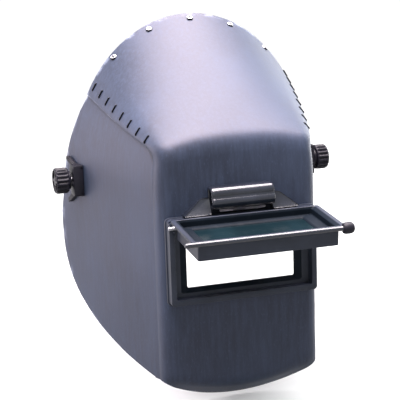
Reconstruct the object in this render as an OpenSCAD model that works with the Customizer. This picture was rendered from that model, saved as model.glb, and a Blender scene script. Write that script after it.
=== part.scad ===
// Lift-front welding helmet: a folded fibre shell, a lens assembly whose dark
// lens flips up, and a ratchet headgear that the shell tilts up on.
// Millimetres. The origin is the middle of the headband, where the head sits.
// X is across, the front of the helmet faces -Y, Z is up.

/* [Shell] */
// Width of the front panel between its two upright corners
face_w = 144; // [140:1:180]
// Bend radius of the upright corners
corner_r = 13; // [9:1:14]
// Thickness of the fibre sheet
shell_wall = 2; // [1.6:0.1:2.4]
// Height of the fold above the window centre, at the middle
fold_h = 102; // [96:1:124]
// Height of the crown rim above the window centre
crown_h = 198; // [190:1:240]
// Distance of the crown rim behind the front panel
crown_back = 128; // [118:1:150]
// Width of the crown arch
arch_w = 224; // [214:1:272]
// Furthest reach of the side panels behind the front panel
side_back = 156; // [140:1:190]
// Depth of the chin edge below the window centre
chin_h = 128; // [112:1:156]

/* [Placing] */
// Distance of the front panel ahead of the headband's middle
face_reach = 138; // [132:1:160]
// Depth of the window centre below the headband
window_drop = 50; // [44:1:60]
// Distance of the tilt axis ahead of the headband's middle
pivot_fwd = 15; // [10:1:18]
// Height of the tilt axis above the headband's middle
pivot_rise = 6; // [2:0.5:8]

/* [Lenses] */
// Width of the glass
lens_w = 108; // [100:1:114]
// Height of the glass
lens_h = 50.8; // [44:0.2:54]
// Thickness of the clear glass
clear_t = 2; // [1:0.1:2.4]
// Thickness of the dark glass
shade_t = 3; // [2:0.1:3.4]
// Room around a glass in its pocket
lens_gap = 0.3; // [0.2:0.1:0.6]

/* [Lens frame] */
// Distance that the frame's rim stands out of the shell
rim_out = 11; // [9:0.5:13]
// Width of the rim's face
rim_face = 4.7; // [4.5:0.1:6]
// Slope of the open lid below the horizontal, in degrees
lid_slope = 5.5; // [0:0.5:10]
// Depth of the lid's lens box
lid_depth = 16.6; // [16.6:0.1:18]
// Diameter of the hinge pin
pin_d = 3; // [2.4:0.1:3.4]

/* [Tension knobs] */
// Diameter of a knob
knob_d = 24; // [20:1:30]
// Length of a knob
knob_l = 12; // [9:1:16]
// Diameter of the bolt that each knob turns on
stud_d = 6; // [5:0.5:7]

/* [Headgear] */
// Inner width of the headband
band_w = 154; // [146:1:164]
// Inner length of the headband
band_l = 194; // [184:1:208]
// Height of the headband
band_h = 24; // [22:1:28]
// Thickness of the plastic straps
strap_t = 1.5; // [1.2:0.1:1.8]
// Rise of the crown strap above the headband
crown_rise = 104; // [98:1:108]
// Pitch radius of the ratchet's pinion
pinion_r = 6; // [5.5:0.1:6.5]

/* [Hidden] */
$fn = 48;
slack = 0.05; // round running clearance
face_gap = 0.3; // room between flat faces that move past each other

fibre = [0.20, 0.23, 0.30];
plastic = [0.16, 0.17, 0.21];
black = [0.08, 0.08, 0.09];
steel = [0.62, 0.63, 0.66];
foam = [0.12, 0.12, 0.13];
glass = [0.85, 0.9, 0.95, 0.4];

function lerp(a, b, t) = a + (b - a) * t;
function unit(v) = v / norm(v);

module mirror_if(flip) { if (flip) mirror([1, 0, 0]) children(); else children(); }
module face_frame() { translate([0, -face_reach, -window_drop]) children(); }
module along(p, n) { translate(p) rotate([0, acos(n.z), atan2(n.y, n.x)]) children(); }
// A block from its X half-width, Y range and Z range
module slab(hx, y0, y1, z0, z1) { translate([-hx, y0, z0]) cube([2 * hx, y1 - y0, z1 - z0]); }
// The same with rounded upright edges seen from the front
module soft_slab(hx, y0, y1, z0, z1, r) {
    translate([0, y1, 0]) rotate([90, 0, 0]) linear_extrude(y1 - y0) {
        translate([-hx + r, z0]) square([2 * (hx - r), z1 - z0]);
        translate([-hx, z0 + r]) square([2 * hx, z1 - z0 - 2 * r]);
        for (sx = [-1, 1], z = [z0 + r, z1 - r]) translate([sx * (hx - r), z]) circle(r);
    }
}

// ---- shell surface, in the face frame: window centre at the origin ----
face_hx = face_w / 2;
arch_hx = arch_w / 2;
shoulder_h = 60; // above it the sides lean in towards the crown
lean_front = 120; // height in which the sides would meet, at the front
side_bow = 0.12; // how much the side panels bulge
fold_drop = 7; // the fold is this much lower at the corners
seam_rise = 36; // climb of the seam from the fold to the crown rim
rim_short = 14; // length of rim left on each side panel below the seam
rear_mid_h = 20; // height at which the side panels reach furthest back
jaw_h = chin_h - 24; // depth of the lower corners
lip_back = 22; // how far the chin lip curls back
lip_drop = 15; // height of the chin lip
fold_t = 12; // tangent length of the soft fold

function side_x(y) = let (t = (y - corner_r) / (crown_back - corner_r))
    lerp(face_hx, arch_hx, t * (1 + side_bow) - side_bow * t * t);
function lean(y, z) = let (t = (y - corner_r) / (crown_back - corner_r),
        h = lerp(lean_front, crown_h - shoulder_h, t))
    z > shoulder_h ? sqrt(1 - pow((z - shoulder_h) / h, 2)) : 1;
function side_pt(y, z) = [side_x(y) * lean(y, z), y, z];

fold_corner_h = fold_h - fold_drop;
seam_top_h = fold_corner_h + seam_rise;
seam_top_x = side_pt(crown_back, seam_top_h).x;
rear_low_h = seam_top_h - rim_short;
function rear_y(z) = z > rear_mid_h
    ? lerp(side_back, crown_back, (z - rear_mid_h) / (seam_top_h - rear_mid_h))
    : let (d = min((rear_mid_h - z) / (rear_mid_h + jaw_h), 0.9999))
      lerp(corner_r, side_back, pow(1 - pow(d, 3), 0.86));

// s runs from 0 at the middle of the front to 1 at the corner
function bend_y(s) = let (u = s * face_hx - (face_hx - corner_r))
    u <= 0 ? 0 : corner_r - sqrt(max(0, corner_r * corner_r - u * u));
function bulge(s) = 1 - s * s;
function lip_yz(s) = [bend_y(s) + lip_back * bulge(s), -jaw_h - (chin_h - jaw_h) * bulge(s)];
function crease_yz(s) = [bend_y(s), -jaw_h + 7 - (chin_h - jaw_h - lip_drop + 7) * bulge(s)];
function fold_yz(s) = [bend_y(s), fold_corner_h + fold_drop * (1 - pow(s, 2.5))];
function rim_yz(s) = let (c = sqrt(1 - pow(s * seam_top_x / arch_hx, 2)))
    [crown_back, lerp(shoulder_h, crown_h, c)];

// v runs up a column: 0..1 lip, 1..2 front panel, 2..3 soft fold, 3..4 forehead
function column_yz(s, v) = let (c = crease_yz(s), k = fold_yz(s), m = rim_yz(s),
        k0 = k + unit(c - k) * fold_t, k1 = k + unit(m - k) * fold_t, t = v - floor(min(v, 3.999)))
    v <= 1 ? lerp(lip_yz(s), c, v)
    : v <= 2 ? lerp(c, k0, v - 1)
    : v <= 3 ? lerp(lerp(k0, k, v - 2), lerp(k, k1, v - 2), v - 2)
    : lerp(k1, m, v - 3);
function corner_pt(v) = let (q = column_yz(1, v)) side_pt(q[0], q[1]);
function front_pt(s, v) = let (q = column_yz(abs(s), v)) [s * corner_pt(v).x, q[0], q[1]];
function rear_z(v) = let (z0 = column_yz(1, 2)[1])
    v <= 2 ? column_yz(1, v)[1] : v <= 3 ? lerp(z0, rear_low_h, 0.2 * (v - 2))
    : lerp(z0, rear_low_h, 0.2 + 0.8 * (v - 3));
// f runs from 0 at the rear edge to 1 at the corner
function flank_pt(f, v) = let (q = corner_pt(v), z = rear_z(v), y = max(rear_y(z), corner_r + 6))
    side_pt(lerp(y, q.y, f), lerp(z, q.z, f));
function front_n(s, v) = let (e = 0.01)
    unit(cross(front_pt(s + e, v) - front_pt(s - e, v), front_pt(s, v + e) - front_pt(s, v - e)));

flank_n = 7;
bend_n = 5;
flat_n = 5;
half_n = flank_n + bend_n + flat_n;
rows = concat([0, 0.5], [for (k = [0:9]) 1 + pow(k / 10, 1.4)],
    [for (k = [0:3]) 2 + k / 4], [for (k = [0:6]) 3 + k / 6]);
function bend_s(k) = (face_hx - corner_r + corner_r * sin(90 * (1 - k / bend_n))) / face_hx;
function half_pt(h, v) = h < flank_n ? flank_pt(h / flank_n, v)
    : h <= flank_n + bend_n ? front_pt(bend_s(h - flank_n), v)
    : front_pt(bend_s(bend_n) * (1 - (h - flank_n - bend_n) / flat_n), v);
function shell_pt(j, v) = let (p = half_pt(min(j, 2 * half_n - j), v)) j < half_n ? [-p.x, p.y, p.z] : p;

// Solid between a grid of points and the same grid pushed in by d0 and d1. The first rows
// and as many columns at each end as given only help to set the directions.
module sheet(grid, d0, d1, drop_rows = 0, drop_columns = 0) {
    last_i = len(grid) - 1;
    last_j = len(grid[0]) - 1;
    normals = [for (i = [0:last_i]) [for (j = [0:last_j])
        unit(cross(grid[i][min(j + 1, last_j)] - grid[i][max(j - 1, 0)],
            grid[min(i + 1, last_i)][j] - grid[max(i - 1, 0)][j]))]];
    kept_i = [drop_rows:last_i];
    kept_j = [drop_columns:last_j - drop_columns];
    outer = [for (i = kept_i) for (j = kept_j) grid[i][j] - d0 * normals[i][j]];
    inner = [for (i = kept_i) for (j = kept_j) grid[i][j] - d1 * normals[i][j]];
    nr = last_i + 1 - drop_rows;
    nc = last_j + 1 - 2 * drop_columns;
    n = nr * nc;
    quads = [for (i = [0:nr - 2]) for (j = [0:nc - 2]) let (a = i * nc + j)
        [a, a + 1, a + nc + 1, a + nc]];
    edge = concat([for (j = [0:nc - 2]) [j, j + 1]],
        [for (i = [0:nr - 2]) [i * nc + nc - 1, (i + 1) * nc + nc - 1]],
        [for (j = [nc - 1:-1:1]) [(nr - 1) * nc + j, (nr - 1) * nc + j - 1]],
        [for (i = [nr - 1:-1:1]) [i * nc, (i - 1) * nc]]);
    faces = concat(
        [for (q = quads) each [[q[0], q[2], q[1]], [q[0], q[3], q[2]]]],
        [for (q = quads) each [[q[0] + n, q[1] + n, q[2] + n], [q[0] + n, q[2] + n, q[3] + n]]],
        [for (e = edge) each [[e[0], e[1], e[1] + n], [e[0], e[1] + n, e[0] + n]]]);
    polyhedron(concat(outer, inner), faces);
}

// ---- places shared by several pieces ----
pivot = [0, -pivot_fwd, pivot_rise];
pivot_back = face_reach - pivot_fwd; // tilt axis behind the front panel
pivot_up = window_drop + pivot_rise; // and above the window centre
pivot_x = side_pt(pivot_back, pivot_up).x;
side_slope = (side_x(pivot_back + 1) - side_x(pivot_back - 1)) / 2;
side_tilt = atan(side_slope);

rivet_v = 3.95;
rivet_step = 20; // degrees around the crown arch
function rivet_s(k) = arch_hx * sin(k * rivet_step) / seam_top_x;
rivet_r = 1.5;
band_gap = 0.3;
band_wall = 1.5;

module at_rivets() {
    for (k = [-2:2]) let (s = rivet_s(k)) along(front_pt(s, rivet_v), front_n(s, rivet_v)) children();
}

sight_w = lens_w - 11.6;
sight_h = lens_h - 7.2;
pocket_hx = lens_w / 2 + lens_gap;
pocket_hz = lens_h / 2 + lens_gap;
sleeve_hx = pocket_hx + 2.9;
sleeve_hz = pocket_hz + 2.5;
lid_box_hx = pocket_hx + 5.7;
lid_box_hd = pocket_hz + 2.35; // half its length from the hinge to the rail
ledge_y = -2.4; // face that the closed lid's box rests on
hinge_y = -rim_out;
box_start = 4; // the box begins this far from the hinge axis
box_low = ledge_y - 0.3 - hinge_y; // reach of the box below the axis
flange_top = lid_depth - box_low;
hinge_z = lid_box_hd * 2 + box_start - 26;
rim_in_hx = lid_box_hx + 0.8;
rim_in_top = hinge_z - box_start + 0.9;
rim_in_low = hinge_z - box_start - 2 * lid_box_hd - 2;
rim_hx = rim_in_hx + rim_face;
rim_top = rim_in_top + 9;
rim_low = rim_in_low - rim_face - 0.5;
flange_t = 2.5;
lid_mid = box_start + lid_box_hd;
ear_r = 3.6;
knuckle_x = [-53, 0, 53];
knuckle_l = 10;
screw_x = 40;
screw_zs = [rim_low + 2.4, rim_top - 4.5];
screw_r = 1.5;
module at_frame_screws() {
    for (sx = [-1, 1], z = screw_zs) translate([sx * screw_x, 0, z]) rotate([-90, 0, 0]) children();
}
housing_hx = 28;
housing_low = hinge_z + flange_top + 2.9;

module shell() {
    grid = [for (v = rows) [for (j = [0:2 * half_n]) shell_pt(j, v)]];
    color(fibre) face_frame() difference() {
        sheet(grid, 0, shell_wall);
        slab(sleeve_hx + 0.3, -5, 8, -sleeve_hz - 0.3, sleeve_hz + 0.3);
        at_frame_screws() cylinder(12, r = screw_r + 0.1, center = true);
        for (sx = [-1, 1]) translate([sx * pivot_x, pivot_back, pivot_up]) rotate([0, 90, 0])
            cylinder(30, r = stud_d / 2 + 1, center = true);
        at_rivets() cylinder(10, r = rivet_r + slack, center = true);
    }
}

module crown_band() {
    skip = flank_n + 3; // columns of the shell's grid left out at each end
    low = rows[len(rows) - 2];
    high = rows[len(rows) - 1];
    // shares of the way up the shell's last row, so that the band follows its facets
    grid = [for (f = [0.2, 0.4, 1]) [for (j = [0:2 * half_n])
        lerp(shell_pt(j, low), shell_pt(j, high), f)]];
    color(fibre) face_frame() difference() {
        sheet(grid, shell_wall + band_gap, shell_wall + band_gap + band_wall, 1, skip);
        at_rivets() cylinder(10, r = rivet_r + slack, center = true);
    }
}

module crown_rivets() {
    grip = shell_wall + band_gap + band_wall + 0.8;
    color(steel) face_frame() at_rivets() {
        rotate_extrude() polygon([[0, 0.15], [3.2, 0.15], [3, 0.7], [2.2, 1.2], [1, 1.5], [0, 1.55]]);
        translate([0, 0, -grip - 1]) cylinder(grip + 1.4, r = rivet_r);
        translate([0, 0, -grip - 1]) cylinder(1, r = 2.7);
    }
}

staple_n = 8;
staple_l = 7;
staple_w = 1.2;
staple_t = 0.8;
staple_skew = 78;
staple_s = 0.95;
staple_vs = [3.08, 3.94]; // first and last place up the seam
module seam_staples(flip) {
    color(steel) face_frame() mirror_if(flip) for (k = [0:staple_n - 1]) {
        v = lerp(staple_vs[0], staple_vs[1], k / (staple_n - 1));
        n = front_n(staple_s, v);
        run = unit(front_pt(staple_s, v + 0.02) - front_pt(staple_s, v - 0.02));
        across = cross(n, run);
        d = run * cos(staple_skew) + across * sin(staple_skew);
        side = cross(n, d);
        leg = shell_wall + 1.4;
        // columns are the wire's run, its width and the shell's normal
        multmatrix([for (i = [0:2]) [d[i], side[i], n[i], front_pt(staple_s, v)[i]]]) {
            translate([-staple_l / 2, -staple_w / 2, 0.1]) cube([staple_l, staple_w, staple_t]);
            for (x = [-staple_l / 2, staple_l / 2 - staple_t])
                translate([x, -staple_w / 2, 0.2 - leg]) cube([staple_t, staple_w, leg]);
        }
    }
}

// ---- lens assembly, in the face frame ----
module hinge_axis() { translate([0, hinge_y, hinge_z]) rotate([0, 90, 0]) children(); }
module x_rod(x0, x1, r) { translate([0, 0, x0]) cylinder(x1 - x0, r = r); }

module lens_frame() {
    color(plastic) face_frame() difference() {
        union() {
            soft_slab(rim_hx + 1.2, -2.5, 0, rim_low - 1.3, rim_top + 1, 4);
            soft_slab(rim_hx, hinge_y, -2.4, rim_low, rim_top, 3);
            slab(sleeve_hx, -0.1, 5, -sleeve_hz, sleeve_hz);
            rotate([90, 0, 0]) linear_extrude(3)
                polygon([[-52, rim_top], [-34, rim_top + 15], [34, rim_top + 15], [52, rim_top]]);
        }
        slab(rim_in_hx, hinge_y - 1, ledge_y, rim_in_low, rim_in_top);
        slab(rim_hx - 3.5, hinge_y - 5, -5, rim_in_top - 1, rim_top + 1);
        slab(rim_hx + 5, hinge_y - 5, hinge_y + 3, rim_in_top + 7, rim_top + 1);
        slab(housing_hx + 0.3, -4, 1, housing_low - 0.3, rim_top + 20);
        slab(sight_w / 2, -5, 5, -sight_h / 2, sight_h / 2);
        hull() {
            slab(sight_w / 2, 0.5, 0.6, -sight_h / 2, sight_h / 2);
            slab(sight_w / 2 + 6, ledge_y - 0.1, ledge_y, -sight_h / 2 - 2.8, sight_h / 2 + 2.8);
        }
        slab(pocket_hx, 1, 6, -pocket_hz, pocket_hz);
        at_frame_screws() cylinder(8, r = screw_r, center = true);
        hinge_axis() x_rod(-rim_hx - 5, rim_hx + 5, pin_d / 2 + 0.02);
    }
    color(plastic) face_frame() difference() {
        for (x = [-25, 25]) {
            hinge_axis() x_rod(x - 2.5, x + 2.5, ear_r);
            translate([x - 2.5, hinge_y, hinge_z - 3]) cube([5, rim_out - 4.9, ear_r + 3]);
        }
        hinge_axis() x_rod(-rim_hx, rim_hx, pin_d / 2 + 0.02);
    }
}

function arc_pts(c, r, a0, a1, n = 10) =
    [for (k = [0:n]) let (a = lerp(a0, a1, k / n)) c + r * [cos(a), sin(a)]];
// Two rolls, one above the other; e is how far the outline is pulled in
module housing_outline(e) {
    low_roll = arc_pts([-8, 6], 6 - e, 270, 130);
    high_roll = arc_pts([-6, 13], 6 - e, 190, 90);
    polygon(concat([[0, e]], low_roll, high_roll, [[0, 19 - e]]));
}

module spring_housing() {
    color(plastic) face_frame() translate([0, 0, housing_low]) rotate([90, 0, 90]) difference() {
        translate([0, 0, -housing_hx]) linear_extrude(2 * housing_hx) housing_outline(0);
        translate([0, 0, -housing_hx + 2]) linear_extrude(2 * housing_hx - 4) housing_outline(1.8);
        translate([-12.5, -1, -22]) cube([11, 4, 44]);
        translate([-1.5, 1.8, -housing_hx + 2]) cube([3, 15.4, 2 * housing_hx - 4]);
    }
}

leaf_t = 0.6;
module detent_spring() {
    low = -housing_low + hinge_z + flange_top + 1.2;
    path = [[-1.5, 14], [-1.5, 4], [-8, low], [-10.5, 3.2]];
    color(steel) face_frame() translate([0, 0, housing_low]) rotate([90, 0, 90])
        translate([0, 0, -20]) linear_extrude(40) {
            for (k = [0:2]) let (a = path[k], d = path[k + 1] - a) translate(a)
                rotate(atan2(d[1], d[0])) translate([0, -leaf_t / 2]) square([norm(d), leaf_t]);
            for (p = path) translate(p) circle(leaf_t / 2);
        }
}

module hinge_pin() {
    color(steel) face_frame() hinge_axis() {
        x_rod(-rim_hx - 0.5, rim_hx + 0.5, pin_d / 2);
        x_rod(rim_hx + 0.3, rim_hx + 1.5, pin_d / 2 + 1);
    }
}

plate_y = shell_wall + 0.05;
plate_t = 2.6;
module lens_retainer() {
    hx = face_hx - corner_r - 0.2;
    color(black) face_frame() difference() {
        soft_slab(hx, plate_y, plate_y + plate_t, rim_low, rim_top, 3);
        slab(sleeve_hx + 0.2, 0, 10, -sleeve_hz - 0.2, sleeve_hz + 0.2);
        at_frame_screws() cylinder(12, r = screw_r + 0.1);
    }
}

module retainer_screws() {
    head = plate_y + plate_t + 0.05;
    color(steel) face_frame() at_frame_screws() difference() {
        union() {
            translate([0, 0, head]) cylinder(1.8, r = 2.4);
            translate([0, 0, -3.3]) cylinder(head + 3.4, r = screw_r - 0.05);
        }
        translate([-2, -0.4, head + 1]) cube([4, 0.8, 1]);
    }
}

// A bent wire clip that pushes a glass against its seat, drawn flat
module lens_clip() {
    hx = lens_w / 2 - 1.5;
    hz = lens_h / 2 - 1.6;
    r = 0.7;
    for (sz = [-1, 1]) translate([-hx, sz * hz]) rotate([0, 90, 0]) cylinder(2 * hx, r = r, $fn = 16);
    translate([-hx, -hz]) rotate([-90, 0, 0]) cylinder(2 * hz, r = r, $fn = 16);
    for (sz = [-1, 1]) translate([-hx, sz * hz]) sphere(r, $fn = 16);
}

glass_y = 1.05;
module clear_lens() {
    color(glass) face_frame() slab(lens_w / 2, glass_y, glass_y + clear_t, -lens_h / 2, lens_h / 2);
}
module clear_lens_gasket() {
    y = glass_y + clear_t + 0.05;
    color(black) face_frame() difference() {
        slab(lens_w / 2, y, y + 0.8, -lens_h / 2, lens_h / 2);
        slab(sight_w / 2 + 1, y - 1, y + 2, -sight_h / 2, sight_h / 2);
    }
}
module clear_lens_spring() {
    y = glass_y + clear_t + 0.9 + 0.75;
    color(steel) face_frame() translate([0, y, 0]) rotate([90, 0, 0]) lens_clip();
}

// ---- lid: hinge axis at the origin, reaching to -Y ----
module lid_frame() { face_frame() translate([0, hinge_y, hinge_z]) rotate([lid_slope, 0, 0]) children(); }
seat_t = 1.7; // wall between the lid's glass, which rests at height 0, and its tray
tray_wall = 1.5;
flange_low = flange_top - flange_t;
flange_start = 2.75;
flange_end = box_start + 2 * lid_box_hd + 1.5;
flange_hx = lid_box_hx + 5.5;
rail_r = 2.6;
rail_hx = flange_hx + 6;
cap_r = 4.4; // the rail's rounded end on the right
cap_l = 9;
// A slab about the middle of the lid from its two half-widths and its Z range
module lid_slab(hx, hy, z0, z1) { slab(hx, -lid_mid - hy, -lid_mid + hy, z0, z1); }
module lid_rail() {
    translate([0, -flange_end, flange_top - rail_r + 0.4]) rotate([0, 90, 0]) {
        x_rod(-rail_hx, rail_hx, rail_r);
        x_rod(rail_hx - cap_l, rail_hx, cap_r);
    }
}
module lid() {
    color(plastic) lid_frame() {
        difference() {
            union() {
                slab(flange_hx, -flange_end, -flange_start, flange_low, flange_top);
                lid_slab(lid_box_hx, lid_box_hd, -box_low, flange_low + 0.1);
                lid_rail();
                for (x = knuckle_x) {
                    rotate([0, 90, 0]) x_rod(x - knuckle_l / 2, x + knuckle_l / 2, ear_r);
                    translate([x - knuckle_l / 2, -box_start - 0.5, 0])
                        cube([knuckle_l, box_start + 0.5, flange_low + 0.5]);
                }
            }
            hull() {
                lid_slab(lid_box_hx - tray_wall, lid_box_hd - tray_wall, flange_low + 0.4, flange_low + 0.5);
                lid_slab(flange_hx - 3.5, lid_box_hd - 0.8, flange_top, flange_top + 0.1);
            }
            lid_slab(lid_box_hx - tray_wall, lid_box_hd - tray_wall, seat_t, flange_low + 0.45);
            lid_slab(sight_w / 2, sight_h / 2, -1, 3);
            lid_slab(pocket_hx, pocket_hz, -box_low - 1, 0);
            rotate([0, 90, 0]) x_rod(-80, 80, pin_d / 2 + slack);
        }
    }
}
cover_t = 1.6;
cover_low = -0.05 - cover_t;
shade_low = cover_low - 0.05 - shade_t;
module lid_glass(low, t) { lid_frame() lid_slab(lens_w / 2, lens_h / 2, low, low + t); }
module lid_cover_glass() { color(glass) lid_glass(cover_low, cover_t); }
module filter_glass() { color([0.05, 0.12, 0.08]) lid_glass(shade_low, shade_t); }
module lid_gasket() {
    color(black) difference() {
        lid_glass(shade_low - 0.85, 0.8);
        lid_frame() lid_slab(sight_w / 2 + 1, sight_h / 2, -20, 20);
    }
}
module lid_spring() {
    color(steel) lid_frame() translate([0, -lid_mid, shade_low - 0.9 - 0.75]) lens_clip();
}

// ---- tilt pivots: built on the right, mirrored for the left ----
wedge_r = 14;
wedge_gap = 0.25; // between the stop plate and the panel
wedge_in_gap = 1; // the panel bows inwards above the tilt axis
plate_out = pivot_x + 7;
wedge_in = pivot_x - shell_wall / cos(side_tilt) - wedge_r * side_slope - 2.6;
arm_out = wedge_in - 2.2;
module pivot_frame() { translate([0, pivot.y, pivot.z]) rotate([0, 90, 0]) children(); }
// Everything outside (side = 1) or inside (side = -1) the panel's tangent plane, moved by d
module panel_half(side, d) {
    translate([pivot_x, pivot.y, pivot.z]) rotate([0, 0, -side_tilt])
        translate([side > 0 ? d : d - 60, -60, -60]) cube([60, 120, 120]);
}
stop_h = 28; // height of the block under the knob
stop_fwd = 11; // its reach ahead of the tilt axis
module x_prism(x0, x1) {
    translate([x0, pivot.y, pivot.z]) rotate([90, 0, 90]) linear_extrude(x1 - x0) children();
}
module stop_plate(flip) {
    h = stop_h / 2;
    f = -stop_fwd;
    color(black) mirror_if(flip) difference() {
        union() {
            intersection() {
                x_prism(pivot_x - 12, plate_out) polygon([[f, -h], [3, -h], [9, -8], [9, 8], [3, h], [f, h]]);
                panel_half(1, wedge_gap);
            }
            intersection() {
                x_prism(pivot_x - 12, plate_out) {
                    polygon([[f, h - 4], [f, h], [12, h + 6.5], [13, h + 3], [2, h - 4]]);
                    polygon([[f, 4 - h], [f, -h], [12, -h - 9], [13, -h - 5.5], [2, 4 - h]]);
                }
                panel_half(1, wedge_gap);
                panel_half(-1, wedge_gap + 3);
            }
        }
        pivot_frame() cylinder(200, r = stud_d / 2 + 0.5);
    }
}
module pivot_wedge(flip) {
    color(black) mirror_if(flip) difference() {
        intersection() {
            pivot_frame() x_rod(wedge_in, pivot_x + 10, wedge_r);
            panel_half(-1, -shell_wall - wedge_in_gap);
        }
        pivot_frame() cylinder(200, r = stud_d / 2 + 0.5);
    }
}
module friction_washer(flip) {
    color([0.35, 0.3, 0.25]) mirror_if(flip) pivot_frame() difference() {
        x_rod(arm_out + 0.1, wedge_in - face_gap, 11);
        cylinder(200, r = stud_d / 2 + 0.2);
    }
}
arm_in = band_w / 2 + strap_t + 0.2;
boss_r = 12;
arm_rivet_y = 3;
arm_rivet_zs = [-6, 6];
module at_arm_rivets() {
    for (z = arm_rivet_zs) translate([0, arm_rivet_y, z]) rotate([0, 90, 0]) children();
}
module side_arm(flip) {
    color(black) mirror_if(flip) difference() {
        union() {
            translate([arm_in, pivot.y - 14, -band_h / 2 + 2]) cube([2.6, 36, band_h - 4 + pivot_rise]);
            pivot_frame() x_rod(arm_in, arm_out, boss_r);
            for (a = [60, 90, 120]) pivot_frame() rotate(a)
                translate([boss_r - 1.2, -1.5, arm_in + 1]) cube([2.7, 3, 7]);
        }
        pivot_frame() x_rod(arm_in - 1, arm_out - 3, boss_r - 2.4);
        pivot_frame() cylinder(200, r = stud_d / 2 + slack);
        at_arm_rivets() x_rod(arm_in - 1, arm_in + 9, 1.55);
    }
}
module arm_rivets(flip) {
    inner = band_w / 2 - 0.2 - strap_t;
    color(steel) mirror_if(flip) at_arm_rivets() {
        x_rod(inner - 0.1, arm_in + 3.4, 1.5);
        x_rod(arm_in + 2.65, arm_in + 3.8, 2.8);
        x_rod(inner - 0.8, inner - 0.05, 2.4);
    }
}
knob_in = plate_out + 2.6;
knob_out = knob_in + knob_l;
module pivot_stud(flip) {
    color(steel) mirror_if(flip) pivot_frame() {
        x_rod(arm_out - 6, arm_out - 3.05, boss_r - 3.5);
        x_rod(arm_out - 3.1, knob_out - 3, stud_d / 2);
    }
}
flute_n = 18;
finger_deep = 5; // hollows in the knob's face
// One of four hollows between the knob's rim, its hub and two ribs
module finger_hollow() {
    intersection() {
        translate([1.6, 1.6, 0]) cube(10);
        difference() {
            cylinder(10, r = knob_d / 2 - 2.4);
            cylinder(10, r = stud_d / 2 + 1.2);
        }
    }
}
module tension_knob(flip) {
    color(black) mirror_if(flip) pivot_frame() difference() {
        union() {
            x_rod(plate_out + face_gap, knob_in + 1, knob_d / 3);
            x_rod(knob_in, knob_out, knob_d / 2 - 0.6);
            for (k = [0:flute_n - 1]) rotate(k * 360 / flute_n)
                translate([knob_d / 2 - 0.9, 0, knob_in + 0.6]) cylinder(knob_l - 1.2, r = 0.9, $fn = 16);
        }
        cylinder(knob_out - 2.5, r = stud_d / 2 + slack);
        for (k = [0:3]) rotate(k * 90 + 45) translate([0, 0, knob_out - finger_deep]) finger_hollow();
    }
}

// ---- headgear ----
band_r = band_w / 2;
band_s = (band_l - band_w) / 2; // half the straight run of the oval
tail_a = 35; // the headband stops this far from the middle of the nape
module arc(y, r0, r1, z0, z1, a0, a1) {
    translate([0, y, 0]) rotate([0, 0, a0]) rotate_extrude(angle = a1 - a0, $fn = 96)
        translate([r0, z0]) square([r1 - r0, z1 - z0]);
}
button_a = 48; // angle of the buttons that hold the racks
module oval(r) {
    square([2 * r, 2 * band_s], center = true);
    for (s = [-1, 1]) translate([0, s * band_s]) circle(r, $fn = 96);
}
module headband() {
    tail = 2 * band_r * [sin(tail_a), cos(tail_a)];
    color(black) difference() {
        union() {
            linear_extrude(band_h, center = true) difference() {
                oval(band_r + strap_t);
                oval(band_r);
                translate([0, band_s]) polygon([[0, 0], tail, [-tail.x, tail.y]]);
            }
            for (a = [90 - button_a, 90 + button_a]) translate([0, band_s, 0]) rotate([0, 90, a])
                x_rod(band_r + strap_t - 0.2, band_r + 5.8, 2.5);
        }
        for (sx = [-1, 1]) scale([sx, 1, 1]) at_arm_rivets() x_rod(band_r - 1, band_r + 3, 1.55);
    }
}
module brow_pad() {
    hz = band_h / 2 + 3;
    color(foam) arc(-band_s, band_r - 5.2, band_r - 0.3, -hz, hz, 200, 340);
}
crown_z = crown_rise - band_r;
crown_w = 20;
crown_lap = 16; // reach of each half past the middle, in degrees
peg_as = [-9, 0, 9];
peg_r = 2;
module at_pegs() { for (a = peg_as) translate([0, 0, crown_z]) rotate([0, a, 0]) children(); }
// The left half; the right one lies on top of it
module crown_strap(raise) {
    r = band_r - 0.2 - strap_t;
    far = 2 * band_r;
    low = crown_z + raise + band_h / 2 - 2;
    difference() {
        translate([0, crown_w / 2, crown_z + raise]) rotate([90, 0, 0]) linear_extrude(crown_w) {
            difference() {
                circle(r + strap_t, $fn = 96);
                circle(r, $fn = 96);
                polygon([[0, 0], far * [sin(crown_lap), cos(crown_lap)], [far, -far],
                    [-far, -far], [-far, 0]]);
            }
            translate([-r - strap_t, -low]) square([strap_t, low]);
        }
        mirror([1, 0, 0]) at_arm_rivets() x_rod(r - 1, band_r, 1.55);
    }
}
module crown_strap_left() {
    color(black) {
        crown_strap(0);
        at_pegs() translate([0, 0, band_r - 0.4]) cylinder(3.4, r = peg_r);
    }
}
module crown_strap_right() {
    raise = strap_t + 0.25;
    color(black) difference() {
        mirror([1, 0, 0]) crown_strap(raise);
        at_pegs() translate([0, 0, band_r - 2]) cylinder(6, r = peg_r + 0.3);
    }
}

// Nape ratchet: two toothed straps that slide past each other round the pinion
rack_gap = 0.35;
rack_in = [band_r + strap_t + rack_gap, band_r + 2 * strap_t + 2 * rack_gap];
tooth_n = 10;
tooth_r = 0.7;
notch_hw = tooth_r + 0.5; // half the width of a notch
slot_near = pinion_r - 1.1;
slot_far = pinion_r + 1.3;
rack_tail = 60;
rack_tip = 18;
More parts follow.
